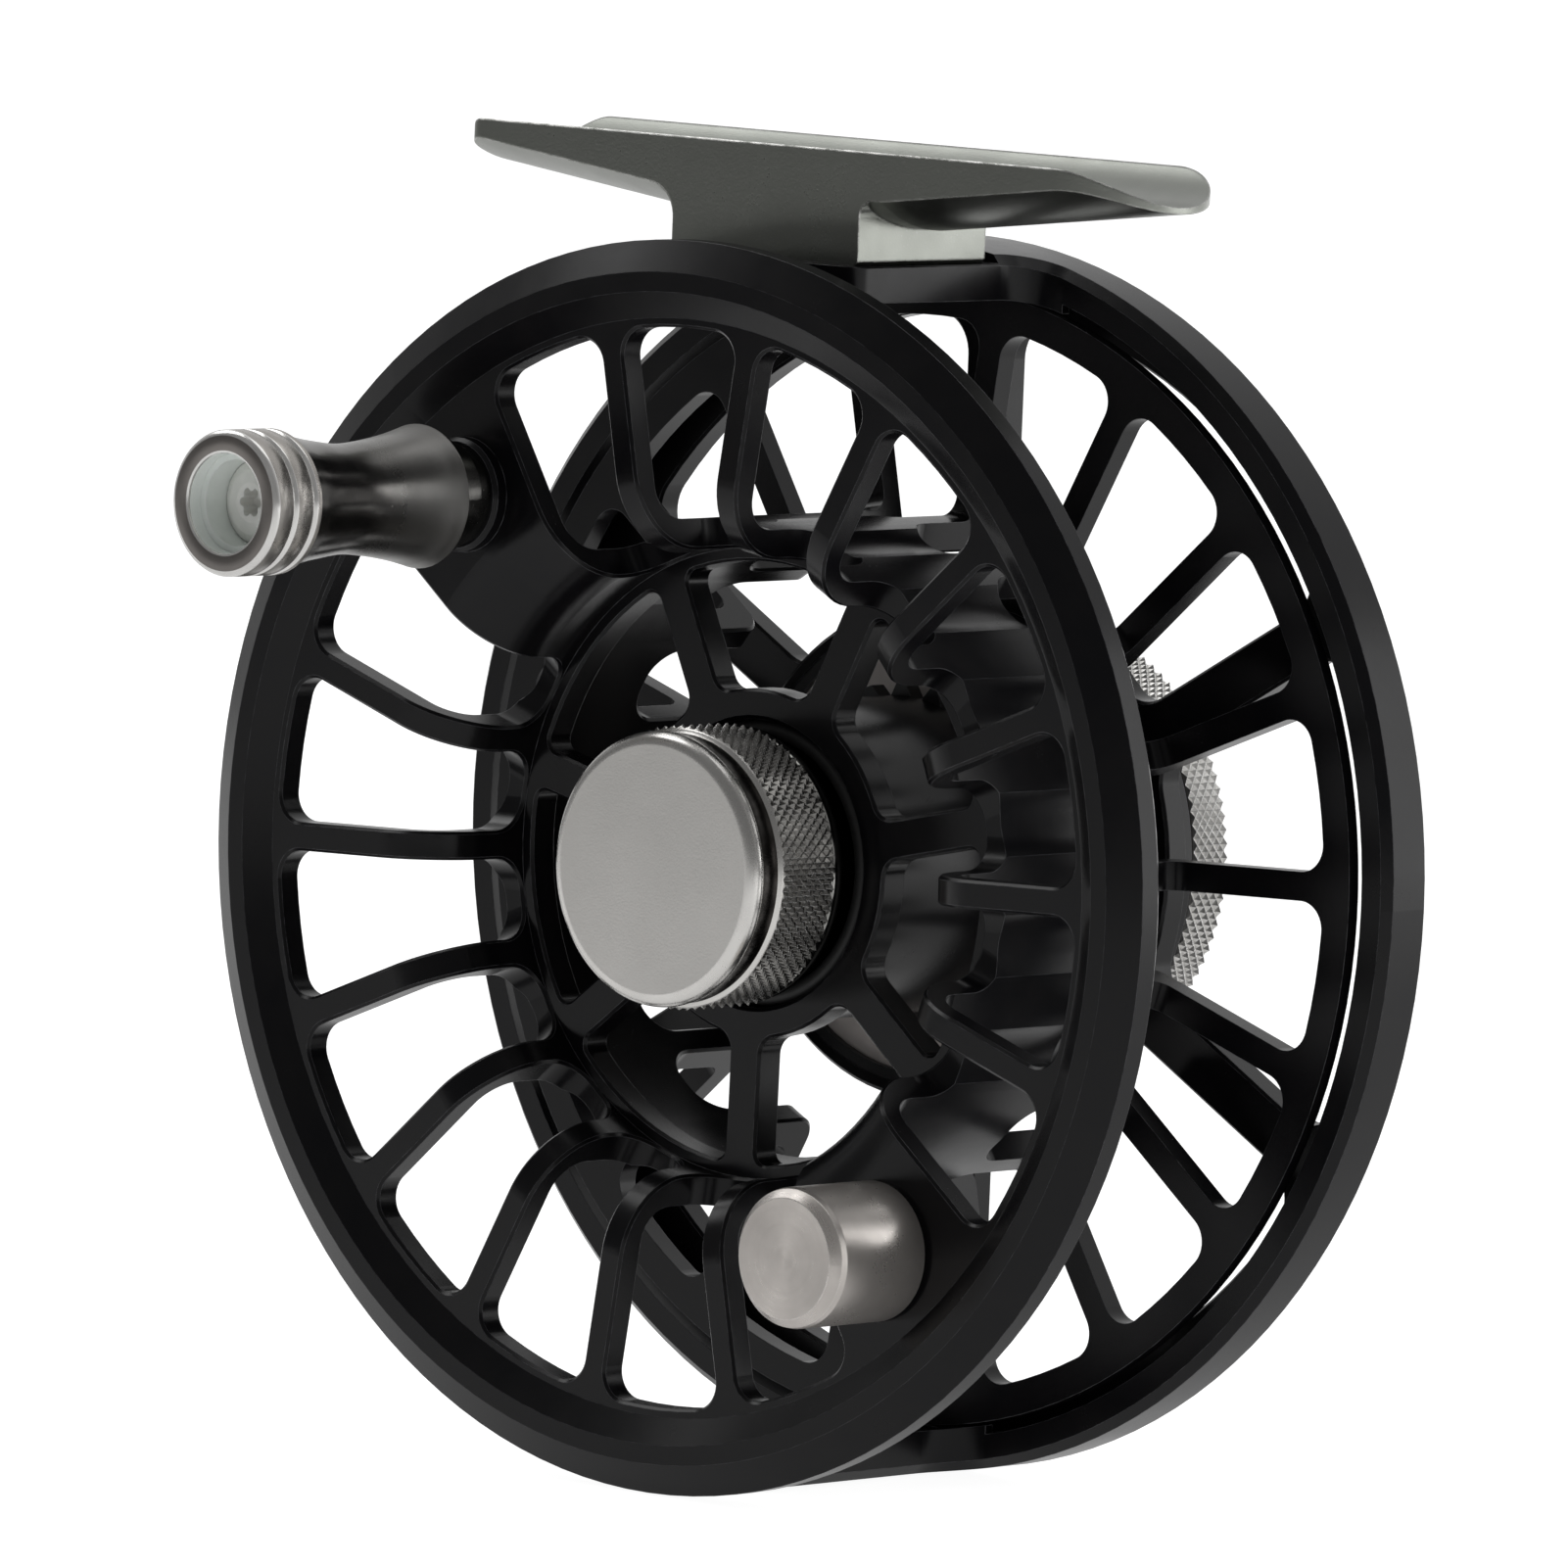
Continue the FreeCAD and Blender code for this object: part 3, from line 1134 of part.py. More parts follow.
pressure_plate = washer("pressure_plate", "cover_bore", plate_radius, "pressure_front",
                        ("pressure_front", "plate_thick"))


def dished_spring():
    """Shallow cone spring, drawn relaxed."""
    inner = size("spring_inner")
    outer = size("spring_outer")
    front = size("spring_front")
    rise = size("spring_rise")
    thick = size("spring_thick")
    points = [(inner, front), (inner, front + thick), (outer, front + rise + thick), (outer, front + rise)]
    corners = [Vector(radius, along, 0) for radius, along in points + points[:1]]
    section = Part.Face(Part.makePolygon(corners))
    return section.revolve(Vector(0, 0, 0), ALONG, 360)


disc_spring = keep(shape_feature("disc_spring", dished_spring()), "disc_spring")
thrust_washer = washer("thrust_washer", "cover_bore", "washer_outer", "washer_front", "washer_back")
pins = []
for place in range(pin_count):
    pin = rod_along(size("pin_radius"), size("washer_back"), size("pin_end"), x=size("pin_circle"))
    pins.append(spun(pin, 90 + place * 360 / pin_count))
thrust_pins = keep(shape_feature("thrust_pins", Part.makeCompound(pins)), "thrust_pins")

drag_knob = keep(turned("drag_knob", [
    (("boss_radius", "run_gap"), "knob_front"),
    (("knob_radius", "-knob_front_edge"), "knob_front"),
    ("knob_radius", ("knob_front", "knob_edge")),
    ("knob_radius", ("knob_back", "-knob_edge")),
    (("knob_radius", "-knob_edge"), "knob_back"),
    ("knob_dish_outer", "knob_back"),
    (("knob_dish_outer", "-knob_dish_slope"), ("knob_back", "-knob_dish_depth")),
    (("knob_dish_inner", "knob_dish_depth"), ("knob_back", "-knob_dish_depth")),
    ("knob_dish_inner", "knob_back"),
    ("knob_well", "knob_back"),
    ("knob_well", ("boss_back", "-run_gap")),
    (("boss_radius", "run_gap"), ("boss_back", "-run_gap")),
]), "drag_knob")

knob_screw_blank = turned("knob_screw_blank", [
    (0.0, ("boss_back", "-knob_screw_length")),
    ("spindle_thread", ("boss_back", "-knob_screw_length")),
    ("spindle_thread", "boss_back"),
    ("knob_screw_head", "boss_back"),
    ("knob_screw_head", ("boss_back", "knob_screw_thick", "-knob_screw_edge")),
    (("knob_screw_head", "-knob_screw_edge"), ("boss_back", "knob_screw_thick")),
    (0.0, ("boss_back", "knob_screw_thick")),
])
slot_reach = size("knob_screw_head") + 0.5
slot_floor = size("boss_back") + size("knob_screw_thick") - size("knob_slot_depth")
slot = Part.makeBox(2 * slot_reach, size("knob_slot_depth") + 1, size("knob_slot"),
                    Vector(-slot_reach, slot_floor, -size("knob_slot") / 2))
knob_screw = keep(cut("knob_screw", knob_screw_blank, [slot]), "knob_screw")

# ---------------------------------------------------------------- click
teeth = int(size("gear_teeth"))
pawl_angle = size("pawl_angle")


def gear_shape():
    """Click gear on the back end of the spool hub, with a gap facing the pawl's nose."""
    tip = size("gear_tip")
    root = size("gear_root")
    points = []
    step = 360 / teeth
    for place in range(teeth):
        centre = pawl_angle + place * step
        for radius, offset in ((root, -0.14), (root, 0.14), (tip, 0.38), (tip, 0.62)):
            angle = math.radians(centre + offset * step)
            points.append((radius * math.cos(angle), radius * math.sin(angle)))
    plate = flat_outline(points, size("gear_front"), size("gear_back") - size("gear_front"))
    bore = rod_along(size("sleeve_hex") + size("gear_clearance"),
                     size("gear_front") - 1, size("gear_back") + 1)
    return plate.cut(bore)


click_gear = keep(shape_feature("click_gear", gear_shape()), "click_gear")


def beside_nose(out, side):
    """Point given by distance along the nose's direction and to its side."""
    angle = math.radians(pawl_angle)
    x = out * math.cos(angle) - side * math.sin(angle)
    z = out * math.sin(angle) + side * math.cos(angle)
    return x, z


pivot_x, pivot_z = beside_nose(size("pivot_out"), size("pivot_side"))


def pawl_shape():
    """Flat lever with a nose between two gear teeth and an eye around its pivot."""
    low = size("pawl_front")
    high = size("pawl_back")
    outline = [beside_nose(out, side) for out, side in (
        (12.45, 0.0), (13.65, -0.6), (15.1, -0.7), (16.3, 6.0), (14.0, 6.0), (13.75, 0.6))]
    arm = flat_outline(outline, low, high - low)
    eye = rod_along(size("pawl_eye"), low, high, x=pivot_x, z=pivot_z)
    hole = rod_along(size("pivot_radius") + size("run_gap"), low - 1, high + 1, x=pivot_x, z=pivot_z)
    return arm.fuse(eye).cut(hole).removeSplitter()


click_pawl = keep(shape_feature("click_pawl", pawl_shape()), "click_pawl")
pivot_pin = rod_along(size("pivot_radius"), size("pivot_front"), size("pivot_end"), x=pivot_x, z=pivot_z)
pivot_head = rod_along(size("pivot_head"), size("pivot_head_front"), size("pivot_head_back"),
                       x=pivot_x, z=pivot_z)
pawl_pivot = keep(shape_feature("pawl_pivot", pivot_pin.fuse(pivot_head)), "pawl_pivot")
coil_centre = Vector(pivot_x, size("coil_along"), pivot_z)
coil = Part.makeTorus(size("coil_radius"), size("coil_wire"), coil_centre, ALONG)
leg_x, leg_z = beside_nose(size("leg_out"), size("leg_side"))
root_x, root_z = beside_nose(size("leg_out"), size("pivot_side"))
leg = Part.makeCylinder(size("leg_wire"), size("leg_length"), Vector(root_x, size("coil_along"), root_z),
                        Vector(leg_x - root_x, 0, leg_z - root_z))
pawl_spring = keep(shape_feature("pawl_spring", coil.fuse(leg)), "pawl_spring")

# ---------------------------------------------------------------- check and write
doc.recompute()
for item in doc.Objects:
    if "Invalid" in item.State or "Error" in item.State:
        raise RuntimeError(f"{item.Label} failed: {item.State}")
for item in nodes:
    if item.Shape.isNull() or not item.Shape.isValid() or not item.Shape.Solids:
        raise RuntimeError(f"{item.Label} has no valid solid")
os.makedirs("parts", exist_ok=True)
for item in nodes:
    item.Shape.exportStep(f"parts/{item.Label}.step")
    print(f"{item.Label}: {len(item.Shape.Solids)} solids, {item.Shape.Volume:.1f} mm3")
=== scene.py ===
import json
import math

import bmesh
import bpy
from mathutils import Matrix, Vector


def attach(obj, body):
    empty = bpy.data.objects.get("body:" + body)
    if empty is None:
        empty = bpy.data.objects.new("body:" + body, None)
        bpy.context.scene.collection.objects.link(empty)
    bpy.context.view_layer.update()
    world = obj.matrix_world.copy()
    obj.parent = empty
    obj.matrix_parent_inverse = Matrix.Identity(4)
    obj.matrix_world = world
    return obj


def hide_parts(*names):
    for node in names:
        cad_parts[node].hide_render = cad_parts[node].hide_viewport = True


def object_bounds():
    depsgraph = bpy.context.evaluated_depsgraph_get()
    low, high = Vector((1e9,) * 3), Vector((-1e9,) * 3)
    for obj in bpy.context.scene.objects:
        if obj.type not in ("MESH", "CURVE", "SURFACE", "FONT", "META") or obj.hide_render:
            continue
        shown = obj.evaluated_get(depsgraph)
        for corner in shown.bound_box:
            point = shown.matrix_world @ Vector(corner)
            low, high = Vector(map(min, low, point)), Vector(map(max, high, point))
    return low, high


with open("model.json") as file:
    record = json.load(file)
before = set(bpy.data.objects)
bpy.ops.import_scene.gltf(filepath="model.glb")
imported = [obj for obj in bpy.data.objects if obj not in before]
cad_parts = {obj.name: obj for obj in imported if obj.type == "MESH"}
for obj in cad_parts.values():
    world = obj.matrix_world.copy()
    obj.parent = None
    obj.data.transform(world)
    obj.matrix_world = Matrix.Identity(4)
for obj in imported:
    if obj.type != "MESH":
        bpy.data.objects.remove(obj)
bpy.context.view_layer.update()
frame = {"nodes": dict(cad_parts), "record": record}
nodes = frame["nodes"]
MM = 0.001
RIM_CIRCLE = -16.2                  # where the rim's largest circle lies along Y, mm

# (x, z) of the lines along Y that pieces are turned about, metres
SPOOL = (0.0, -54.7 * MM)
HANDLE = (-22.62 * MM, -28.12 * MM)
WEIGHT = (22.62 * MM, -81.28 * MM)


# ---------------------------------------------------------------- node helpers
def add_node(tree, kind, inputs=None, **settings):
    """New node; inputs maps a socket's name or number to a value or to another node's output."""
    node = tree.nodes.new(kind)
    for key, value in settings.items():
        setattr(node, key, value)
    for key, value in (inputs or {}).items():
        if isinstance(value, bpy.types.NodeSocket):
            tree.links.new(value, node.inputs[key])
        else:
            node.inputs[key].default_value = value
    return node


class Recipe:
    """A material's node tree. add returns the node, finish closes the tree, and the other methods
    return an output socket."""

    def __init__(self, name):
        self.material = bpy.data.materials.new(name)
        self.material.use_nodes = True
        self.tree = self.material.node_tree
        self.tree.nodes.clear()
        self.where = self.add("ShaderNodeTexCoord").outputs["Object"]

    def add(self, kind, inputs=None, **settings):
        return add_node(self.tree, kind, inputs, **settings)

    def finish(self, inputs):
        """Close the tree with a principled surface."""
        shader = self.add("ShaderNodeBsdfPrincipled", inputs)
        self.add("ShaderNodeOutputMaterial", {"Surface": shader.outputs[0]})
        return self.material

    def noise(self, scale, detail=3.0, rough=0.55, where=None):
        node = self.add("ShaderNodeTexNoise", {"Vector": where or self.where, "Scale": scale,
                                               "Detail": detail, "Roughness": rough})
        return node.outputs["Fac"]

    def math(self, operation, first, second=0.0, clamp=False):
        node = self.add("ShaderNodeMath", {0: first, 1: second}, operation=operation, use_clamp=clamp)
        return node.outputs[0]

    def times(self, first, second):
        return self.math("MULTIPLY", first, second)

    def plus(self, first, second):
        return self.math("ADD", first, second)

    def spread(self, value, low, high, out_low=0.0, out_high=1.0):
        """Map value from low..high to out_low..out_high, held at both ends."""
        node = self.add("ShaderNodeMapRange", {"Value": value, "From Min": low, "From Max": high,
                                               "To Min": out_low, "To Max": out_high})
        return node.outputs["Result"]

    def mix(self, share, first, second):
        """Blend of two colours; sockets 0, 6 and 7 are the colour mix's share and its colours."""
        return self.add("ShaderNodeMix", {0: share, 6: first, 7: second}, data_type="RGBA").outputs[2]

    def off_axis(self, x, z):
        """Distance from a line along Y through (x, z), metres."""
        moved = self.add("ShaderNodeVectorMath", {0: self.where, 1: (x, 0.0, z)}, operation="SUBTRACT")
        flat = self.add("ShaderNodeVectorMath", {0: moved.outputs[0], 1: (1.0, 0.0, 1.0)},
                        operation="MULTIPLY")
        length = self.add("ShaderNodeVectorMath", {0: flat.outputs[0]}, operation="LENGTH")
        return length.outputs["Value"]

    def rings(self, x, z, per_mm):
        """Uneven concentric turning marks about a line along Y, 0 to 1."""
        radius = self.off_axis(x, z)
        where = self.add("ShaderNodeCombineXYZ", {0: radius}).outputs[0]
        return self.noise(per_mm / MM, detail=4.0, rough=0.7, where=where)


def rgba(red, green=None, blue=None):
    return (red, red if green is None else green, red if blue is None else blue, 1.0)


# Ranges for Recipe.spread: two input ends, then two output ends where they aren't 0 and 1.
CLOUD_TONE = (0.35, 0.65)
CLOUD_ROUGHNESS = (0.45, 1.05)
EDGE_SHARE = (0.995, 0.90)                  # softened normal against true normal: flat face, edge with wear and painted highlight
WEAR_AND_HIGHLIGHT_PATCHES = (0.3, 0.6)
SPECK_PATCHES = (0.70, 0.80)
MARK_ROUGHNESS = (0.3, 0.7, -0.05, 0.06)
MARK_TONE = (0.45, 0.75, 0.0, 0.35)
WEAR_AND_HIGHLIGHT_SCALE, SPECK_SCALE = 900.0, 5200.0
SPECK_TONE = 0.35
MARKS_PER_MM = 2.2
GRAIN_HEIGHT = 0.02 * MM
GRAIN_SHARE = 0.5                           # share of the fine grain in the roughness


def finish_metal(name, colour, shade, rough, metallic=1.0, grain=(2600.0, 0.10), edge_mm=0.12,
                 edge_wear_and_highlight=None, wear_and_highlight_rough=0.25, anisotropy=0.0, turned=None, specular=0.5, mottle=220.0,
                 specks=0.0, zones=None):
    """Machined metal: mottled colour and roughness, fine grain (scale, strength) and softened edges
    that take a lighter edge colour, partly wear and partly painted highlight. With turned=(x, z) it
    has lathe marks about that line; specks adds bright grains as painted glints; zones may change colour
    and roughness by place."""
    recipe = Recipe(name)
    cloud = recipe.noise(mottle, detail=4.0)
    fine = recipe.noise(grain[0], detail=2.0)
    tone = recipe.mix(recipe.spread(cloud, *CLOUD_TONE), colour, shade)
    uneven = recipe.plus(cloud, recipe.times(fine, GRAIN_SHARE))
    roughness = recipe.spread(uneven, *CLOUD_ROUGHNESS, *rough)
    rounded = recipe.add("ShaderNodeBevel", {"Radius": edge_mm * MM}, samples=4)
    geometry = recipe.add("ShaderNodeNewGeometry")
    facing = recipe.add("ShaderNodeVectorMath", {0: rounded.outputs[0], 1: geometry.outputs["Normal"]},
                        operation="DOT_PRODUCT")
    edge = recipe.spread(facing.outputs["Value"], *EDGE_SHARE)
    # Softened edges take a lighter edge colour: partly wear, partly painted highlight lines.
    if edge_wear_and_highlight is not None:
        patches = recipe.spread(recipe.noise(WEAR_AND_HIGHLIGHT_SCALE), *WEAR_AND_HIGHLIGHT_PATCHES)
        worn_and_lit_edges = recipe.math("MULTIPLY", edge, patches, clamp=True)
        tone = recipe.mix(worn_and_lit_edges, tone, edge_wear_and_highlight)
        kept = recipe.times(roughness, recipe.math("SUBTRACT", 1.0, worn_and_lit_edges))
        roughness = recipe.plus(kept, recipe.times(worn_and_lit_edges, wear_and_highlight_rough))
    # Specks are painted glints: lighter grains standing for the sparkle of a bead-blasted face.
    if specks:
        painted_glints = recipe.spread(recipe.noise(SPECK_SCALE, detail=1.0), *SPECK_PATCHES, 0.0, specks)
        tone = recipe.mix(painted_glints, tone, rgba(SPECK_TONE))
    if turned is not None:
        marks = recipe.rings(*turned, MARKS_PER_MM)
        roughness = recipe.plus(roughness, recipe.spread(marks, *MARK_ROUGHNESS))
        tone = recipe.mix(recipe.spread(marks, *MARK_TONE), tone, shade)
    if zones is not None:
        tone, roughness = zones(recipe, tone, roughness)
    bump = recipe.add("ShaderNodeBump", {"Strength": grain[1], "Distance": GRAIN_HEIGHT,
                                         "Height": fine, "Normal": rounded.outputs[0]})
    inputs = {"Base Color": tone, "Metallic": metallic, "Roughness": roughness,
              "Normal": bump.outputs[0], "Specular IOR Level": specular, "Anisotropic": anisotropy}
    if anisotropy:
        tangent = recipe.add("ShaderNodeTangent", direction_type="RADIAL", axis="Y")
        inputs["Tangent"] = tangent.outputs[0]
    return recipe.finish(inputs)


def woven_carbon(name):
    """Woven carbon friction disc: two sets of fibre bundles crossing."""
    recipe = Recipe(name)
    bundles_per_metre, fibres_per_metre = 900.0, 6000.0
    weave_height = 0.03 * MM
    check = recipe.add("ShaderNodeTexChecker", {"Vector": recipe.where, "Scale": bundles_per_metre,
                                                "Color1": rgba(0.02), "Color2": rgba(0.075)})
    fibres = recipe.noise(fibres_per_metre, detail=2.0)
    tone = recipe.mix(recipe.spread(fibres, 0.3, 0.7, 0.0, 0.5), check.outputs["Color"], rgba(0.12))
    bump = recipe.add("ShaderNodeBump", {"Strength": 0.4, "Distance": weave_height,
                                         "Height": check.outputs["Fac"]})
    return recipe.finish({"Base Color": tone, "Roughness": 0.45, "Normal": bump.outputs[0]})


FLARE_START, FLARE_END = -31.0 * MM, -23.0 * MM


def grip_zones(recipe, tone, roughness):
    """Soft frosting towards the flare at the grip's base."""
    along = recipe.add("ShaderNodeSeparateXYZ", {0: recipe.where}).outputs[1]
    flare = recipe.spread(along, FLARE_START, FLARE_END)
    tone = recipe.mix(recipe.times(flare, 0.6), tone, rgba(0.30, 0.296, 0.286))
    roughness = recipe.plus(roughness, recipe.times(flare, 0.16))
    return tone, roughness


# Anodised black: its lighter edge colour paints the bright highlight lines on the edges.
black = finish_metal("anodised_black", rgba(0.0032, 0.0032, 0.0042), rgba(0.0050, 0.0046, 0.0052),
                     (0.20, 0.28), metallic=0.0, specular=0.23, grain=(4200.0, 0.10), edge_mm=0.09,
                     anisotropy=0.25, edge_wear_and_highlight=rgba(0.13, 0.13, 0.14), wear_and_highlight_rough=0.15)
# Foot titanium: its specks are painted glints for the bead-blast sparkle.
titanium = finish_metal("foot_titanium", rgba(0.255, 0.264, 0.241), rgba(0.222, 0.230, 0.210),
                        (0.26, 0.34), grain=(5200.0, 0.45), edge_mm=0.24,
                        edge_wear_and_highlight=rgba(0.62, 0.62, 0.60), wear_and_highlight_rough=0.22, mottle=120.0, specks=0.5)
gunmetal = finish_metal("gunmetal", rgba(0.15, 0.147, 0.14), rgba(0.11, 0.108, 0.103), (0.20, 0.28),
                        grain=(3500.0, 0.08), edge_mm=0.12, edge_wear_and_highlight=rgba(0.92, 0.90, 0.87), wear_and_highlight_rough=0.12,
                        turned=HANDLE)
grip_metal = finish_metal("grip_metal", rgba(0.165, 0.160, 0.152), rgba(0.125, 0.121, 0.115), (0.17, 0.25),
                          grain=(3500.0, 0.14), edge_mm=0.13, edge_wear_and_highlight=rgba(0.92, 0.90, 0.87), wear_and_highlight_rough=0.10,
                          turned=HANDLE, zones=grip_zones)
grip_bright = finish_metal("grip_bright", rgba(0.86, 0.85, 0.83), rgba(0.74, 0.73, 0.71), (0.16, 0.24),
                           metallic=0.7, grain=(3000.0, 0.05), edge_mm=0.03)
grip_band = finish_metal("grip_band", rgba(0.42, 0.40, 0.375), rgba(0.34, 0.325, 0.305), (0.24, 0.34),
                         metallic=0.85, grain=(3500.0, 0.12), edge_mm=0.04, turned=HANDLE)
grip_face = finish_metal("grip_face", rgba(0.25, 0.232, 0.218), rgba(0.20, 0.186, 0.175), (0.30, 0.38),
                         metallic=0.85, grain=(3500.0, 0.12), edge_mm=0.04, turned=HANDLE)
frosted = finish_metal("bushing_frosted", rgba(0.86, 0.90, 0.87), rgba(0.76, 0.80, 0.77), (0.42, 0.55),
                       metallic=0.0, grain=(1800.0, 0.4), edge_wear_and_highlight=rgba(0.85), wear_and_highlight_rough=0.3)
stainless = finish_metal("stainless", rgba(0.66, 0.62, 0.585), rgba(0.56, 0.525, 0.495), (0.26, 0.34),
                         metallic=0.75, edge_mm=0.14, edge_wear_and_highlight=rgba(0.9, 0.87, 0.84), wear_and_highlight_rough=0.12,
                         anisotropy=0.7, turned=WEIGHT)
steel = finish_metal("steel", rgba(0.52, 0.51, 0.49), rgba(0.42, 0.41, 0.40), (0.22, 0.32),
                     edge_wear_and_highlight=rgba(0.75), wear_and_highlight_rough=0.18, turned=SPOOL)
zinc = finish_metal("zinc_screw", rgba(0.90, 0.90, 0.87), rgba(0.76, 0.76, 0.73), (0.26, 0.40),
                    metallic=0.2, grain=(1400.0, 0.5), edge_wear_and_highlight=rgba(0.85), wear_and_highlight_rough=0.3)
black_steel = finish_metal("black_spring_steel", rgba(0.012, 0.012, 0.014), rgba(0.02), (0.26, 0.36),
                           metallic=0.2, specular=0.4, edge_wear_and_highlight=rgba(0.12), wear_and_highlight_rough=0.3)
# The cover's pale colour is partly its own grey-brown and partly painted light, raised so it reads lit in
# the shadow behind the hub's windows.
cover = finish_metal("cover_grey", rgba(0.70, 0.65, 0.62), rgba(0.58, 0.54, 0.515), (0.44, 0.54),
                     metallic=0.15, anisotropy=0.5, turned=SPOOL, edge_wear_and_highlight=rgba(0.6))
cap_face = finish_metal("cap_face", rgba(0.66, 0.645, 0.62), rgba(0.61, 0.597, 0.573), (0.30, 0.36),
                        grain=(7000.0, 0.35), edge_mm=0.03, mottle=90.0)
cap_edge = finish_metal("cap_edge", rgba(0.76, 0.745, 0.72), rgba(0.69, 0.675, 0.65), (0.24, 0.30),
                        grain=(3000.0, 0.04), edge_mm=0.03)
cap_groove = finish_metal("cap_groove", rgba(0.052, 0.047, 0.044), rgba(0.040, 0.037, 0.034), (0.24, 0.32),
                          grain=(3000.0, 0.05), edge_mm=0.02)
cap_band = finish_metal("cap_band", rgba(0.46, 0.455, 0.435), rgba(0.36, 0.355, 0.34), (0.10, 0.16),
                        grain=(3000.0, 0.05), edge_mm=0.04, edge_wear_and_highlight=rgba(0.85), wear_and_highlight_rough=0.1)
knurl_dark = finish_metal("knurl_dark", rgba(0.40, 0.39, 0.37), rgba(0.28, 0.272, 0.26), (0.20, 0.30),
                          grain=(4000.0, 0.12), edge_mm=0.04, edge_wear_and_highlight=rgba(0.75), wear_and_highlight_rough=0.15,
                          mottle=600.0)
knurl_light = finish_metal("knurl_light", rgba(0.72, 0.71, 0.69), rgba(0.63, 0.62, 0.60), (0.28, 0.36),
                           grain=(4000.0, 0.12), edge_mm=0.05, edge_wear_and_highlight=rgba(0.9), wear_and_highlight_rough=0.15,
                           mottle=600.0)
knob_face = finish_metal("knob_face", rgba(0.47, 0.46, 0.44), rgba(0.40, 0.39, 0.375), (0.28, 0.36),
                         grain=(7000.0, 0.35), edge_mm=0.05, mottle=90.0, turned=SPOOL)
rubber = finish_metal("seal_rubber", rgba(0.012), rgba(0.018), (0.5, 0.62), metallic=0.0,
                      grain=(1500.0, 0.3), mottle=300.0)
carbon = woven_carbon("carbon")

BY_SLOT = {
    "anodised_black": black, "cover_grey": cover, "black_spring_steel": black_steel,
    "foot_titanium": titanium, "steel": steel, "gunmetal": gunmetal, "bushing_plastic": frosted,
    "stainless": stainless, "cap_silver": knurl_light, "seal_rubber": rubber, "carbon": carbon,
}
for part in frame["record"]["subparts"]:
    node = nodes[part["node"]]
    node.data.materials.clear()
    node.data.materials.append(BY_SLOT[part["material_slot"]])
nodes["handle_screw"].data.materials[0] = zinc


# ---------------------------------------------------------------- turned and knurled pieces
def ring_points(radius, along, count, centre):
    """A ring about a line along Y through centre=(x, z), `along` mm behind the rim circle; radius may
    be a pair that alternates from point to point."""
    points = []
    for place in range(count):
        size = radius[place % 2] if isinstance(radius, tuple) else radius
        angle = 2 * math.pi * place / count
        points.append(Vector((centre[0] + size * MM * math.cos(angle), (along + RIM_CIRCLE) * MM,
                              centre[1] + size * MM * math.sin(angle))))
    return points


def turned_piece(name, count, rows, materials, centre=SPOOL, sharp=None):
    """Surface of revolution; rows are (radius, along, material of the band that follows, crossed).
    Where crossed is 1 or 2 the band's quads are split along one diagonal or the other in
    turn. sharp is the angle in degrees beyond which an edge is left crisp."""
    mesh = bpy.data.meshes.new(name)
    built = bmesh.new()
    loops = []
    for radius, along, _, _ in rows:
        if radius == 0.0:
            loops.append([built.verts.new((centre[0], (along + RIM_CIRCLE) * MM, centre[1]))])
        else:
            loops.append([built.verts.new(point) for point in ring_points(radius, along, count, centre)])
    for index in range(len(rows) - 1):
        near, far = loops[index], loops[index + 1]
        _, _, finish, crossed = rows[index]
        for place in range(count):
            after = (place + 1) % count
            if len(near) == 1:
                groups = [(near[0], far[after], far[place])]
            elif len(far) == 1:
                groups = [(near[place], near[after], far[0])]
            elif crossed:
                if (place + crossed) % 2:
                    groups = [(near[place], near[after], far[after]), (near[place], far[after], far[place])]
                else:
                    groups = [(near[place], near[after], far[place]), (near[after], far[after], far[place])]
            else:
                groups = [(near[place], near[after], far[after], far[place])]
            for corners in groups:
                face = built.faces.new(corners)
                face.material_index = materials.index(finish)
                face.smooth = not crossed
    bmesh.ops.remove_doubles(built, verts=built.verts, dist=1e-7)
    bmesh.ops.recalc_face_normals(built, faces=built.faces)
    built.to_mesh(mesh)
    built.free()
    if sharp is not None:
        mesh.set_sharp_from_angle(angle=math.radians(sharp))
    for material in materials:
        mesh.materials.append(material)
    piece = bpy.data.objects.new(name, mesh)
    bpy.context.scene.collection.objects.link(piece)
    return piece


def knurl_rows(outer, depth, start, end, bands, finish):
    """Rows of a diamond knurl between start and end: peaks and groove crossings swap places each row."""
    rows = []
    for band in range(bands + 1):
        flip = band % 2
        pair = (outer, outer - depth) if flip else (outer - depth, outer)
        along = start + (end - start) * band / bands
        rows.append((pair, along, finish, 1 + flip))
    return rows


def rounded_rows(centre_radius, centre_along, rounding, start, end, steps, finish):
    """Rows round an edge, from angle start to end in degrees; 0 points outward, 90 forward."""
    rows = []
    for step in range(steps + 1):
        angle = math.radians(start + (end - start) * step / steps)
        rows.append((centre_radius + rounding * math.cos(angle),
                     centre_along - rounding * math.sin(angle), finish, 0))
    return rows


def plain_rows(finish, *places):
    """Rows at (radius, along) places, each starting a band of the same material."""
    return [(radius, along, finish, 0) for radius, along in places]


def put_in_place(piece, body, node):
    """Let a finer piece stand for a CAD node, on the node's body, with the node hidden."""
    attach(piece, body)
    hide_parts(node)


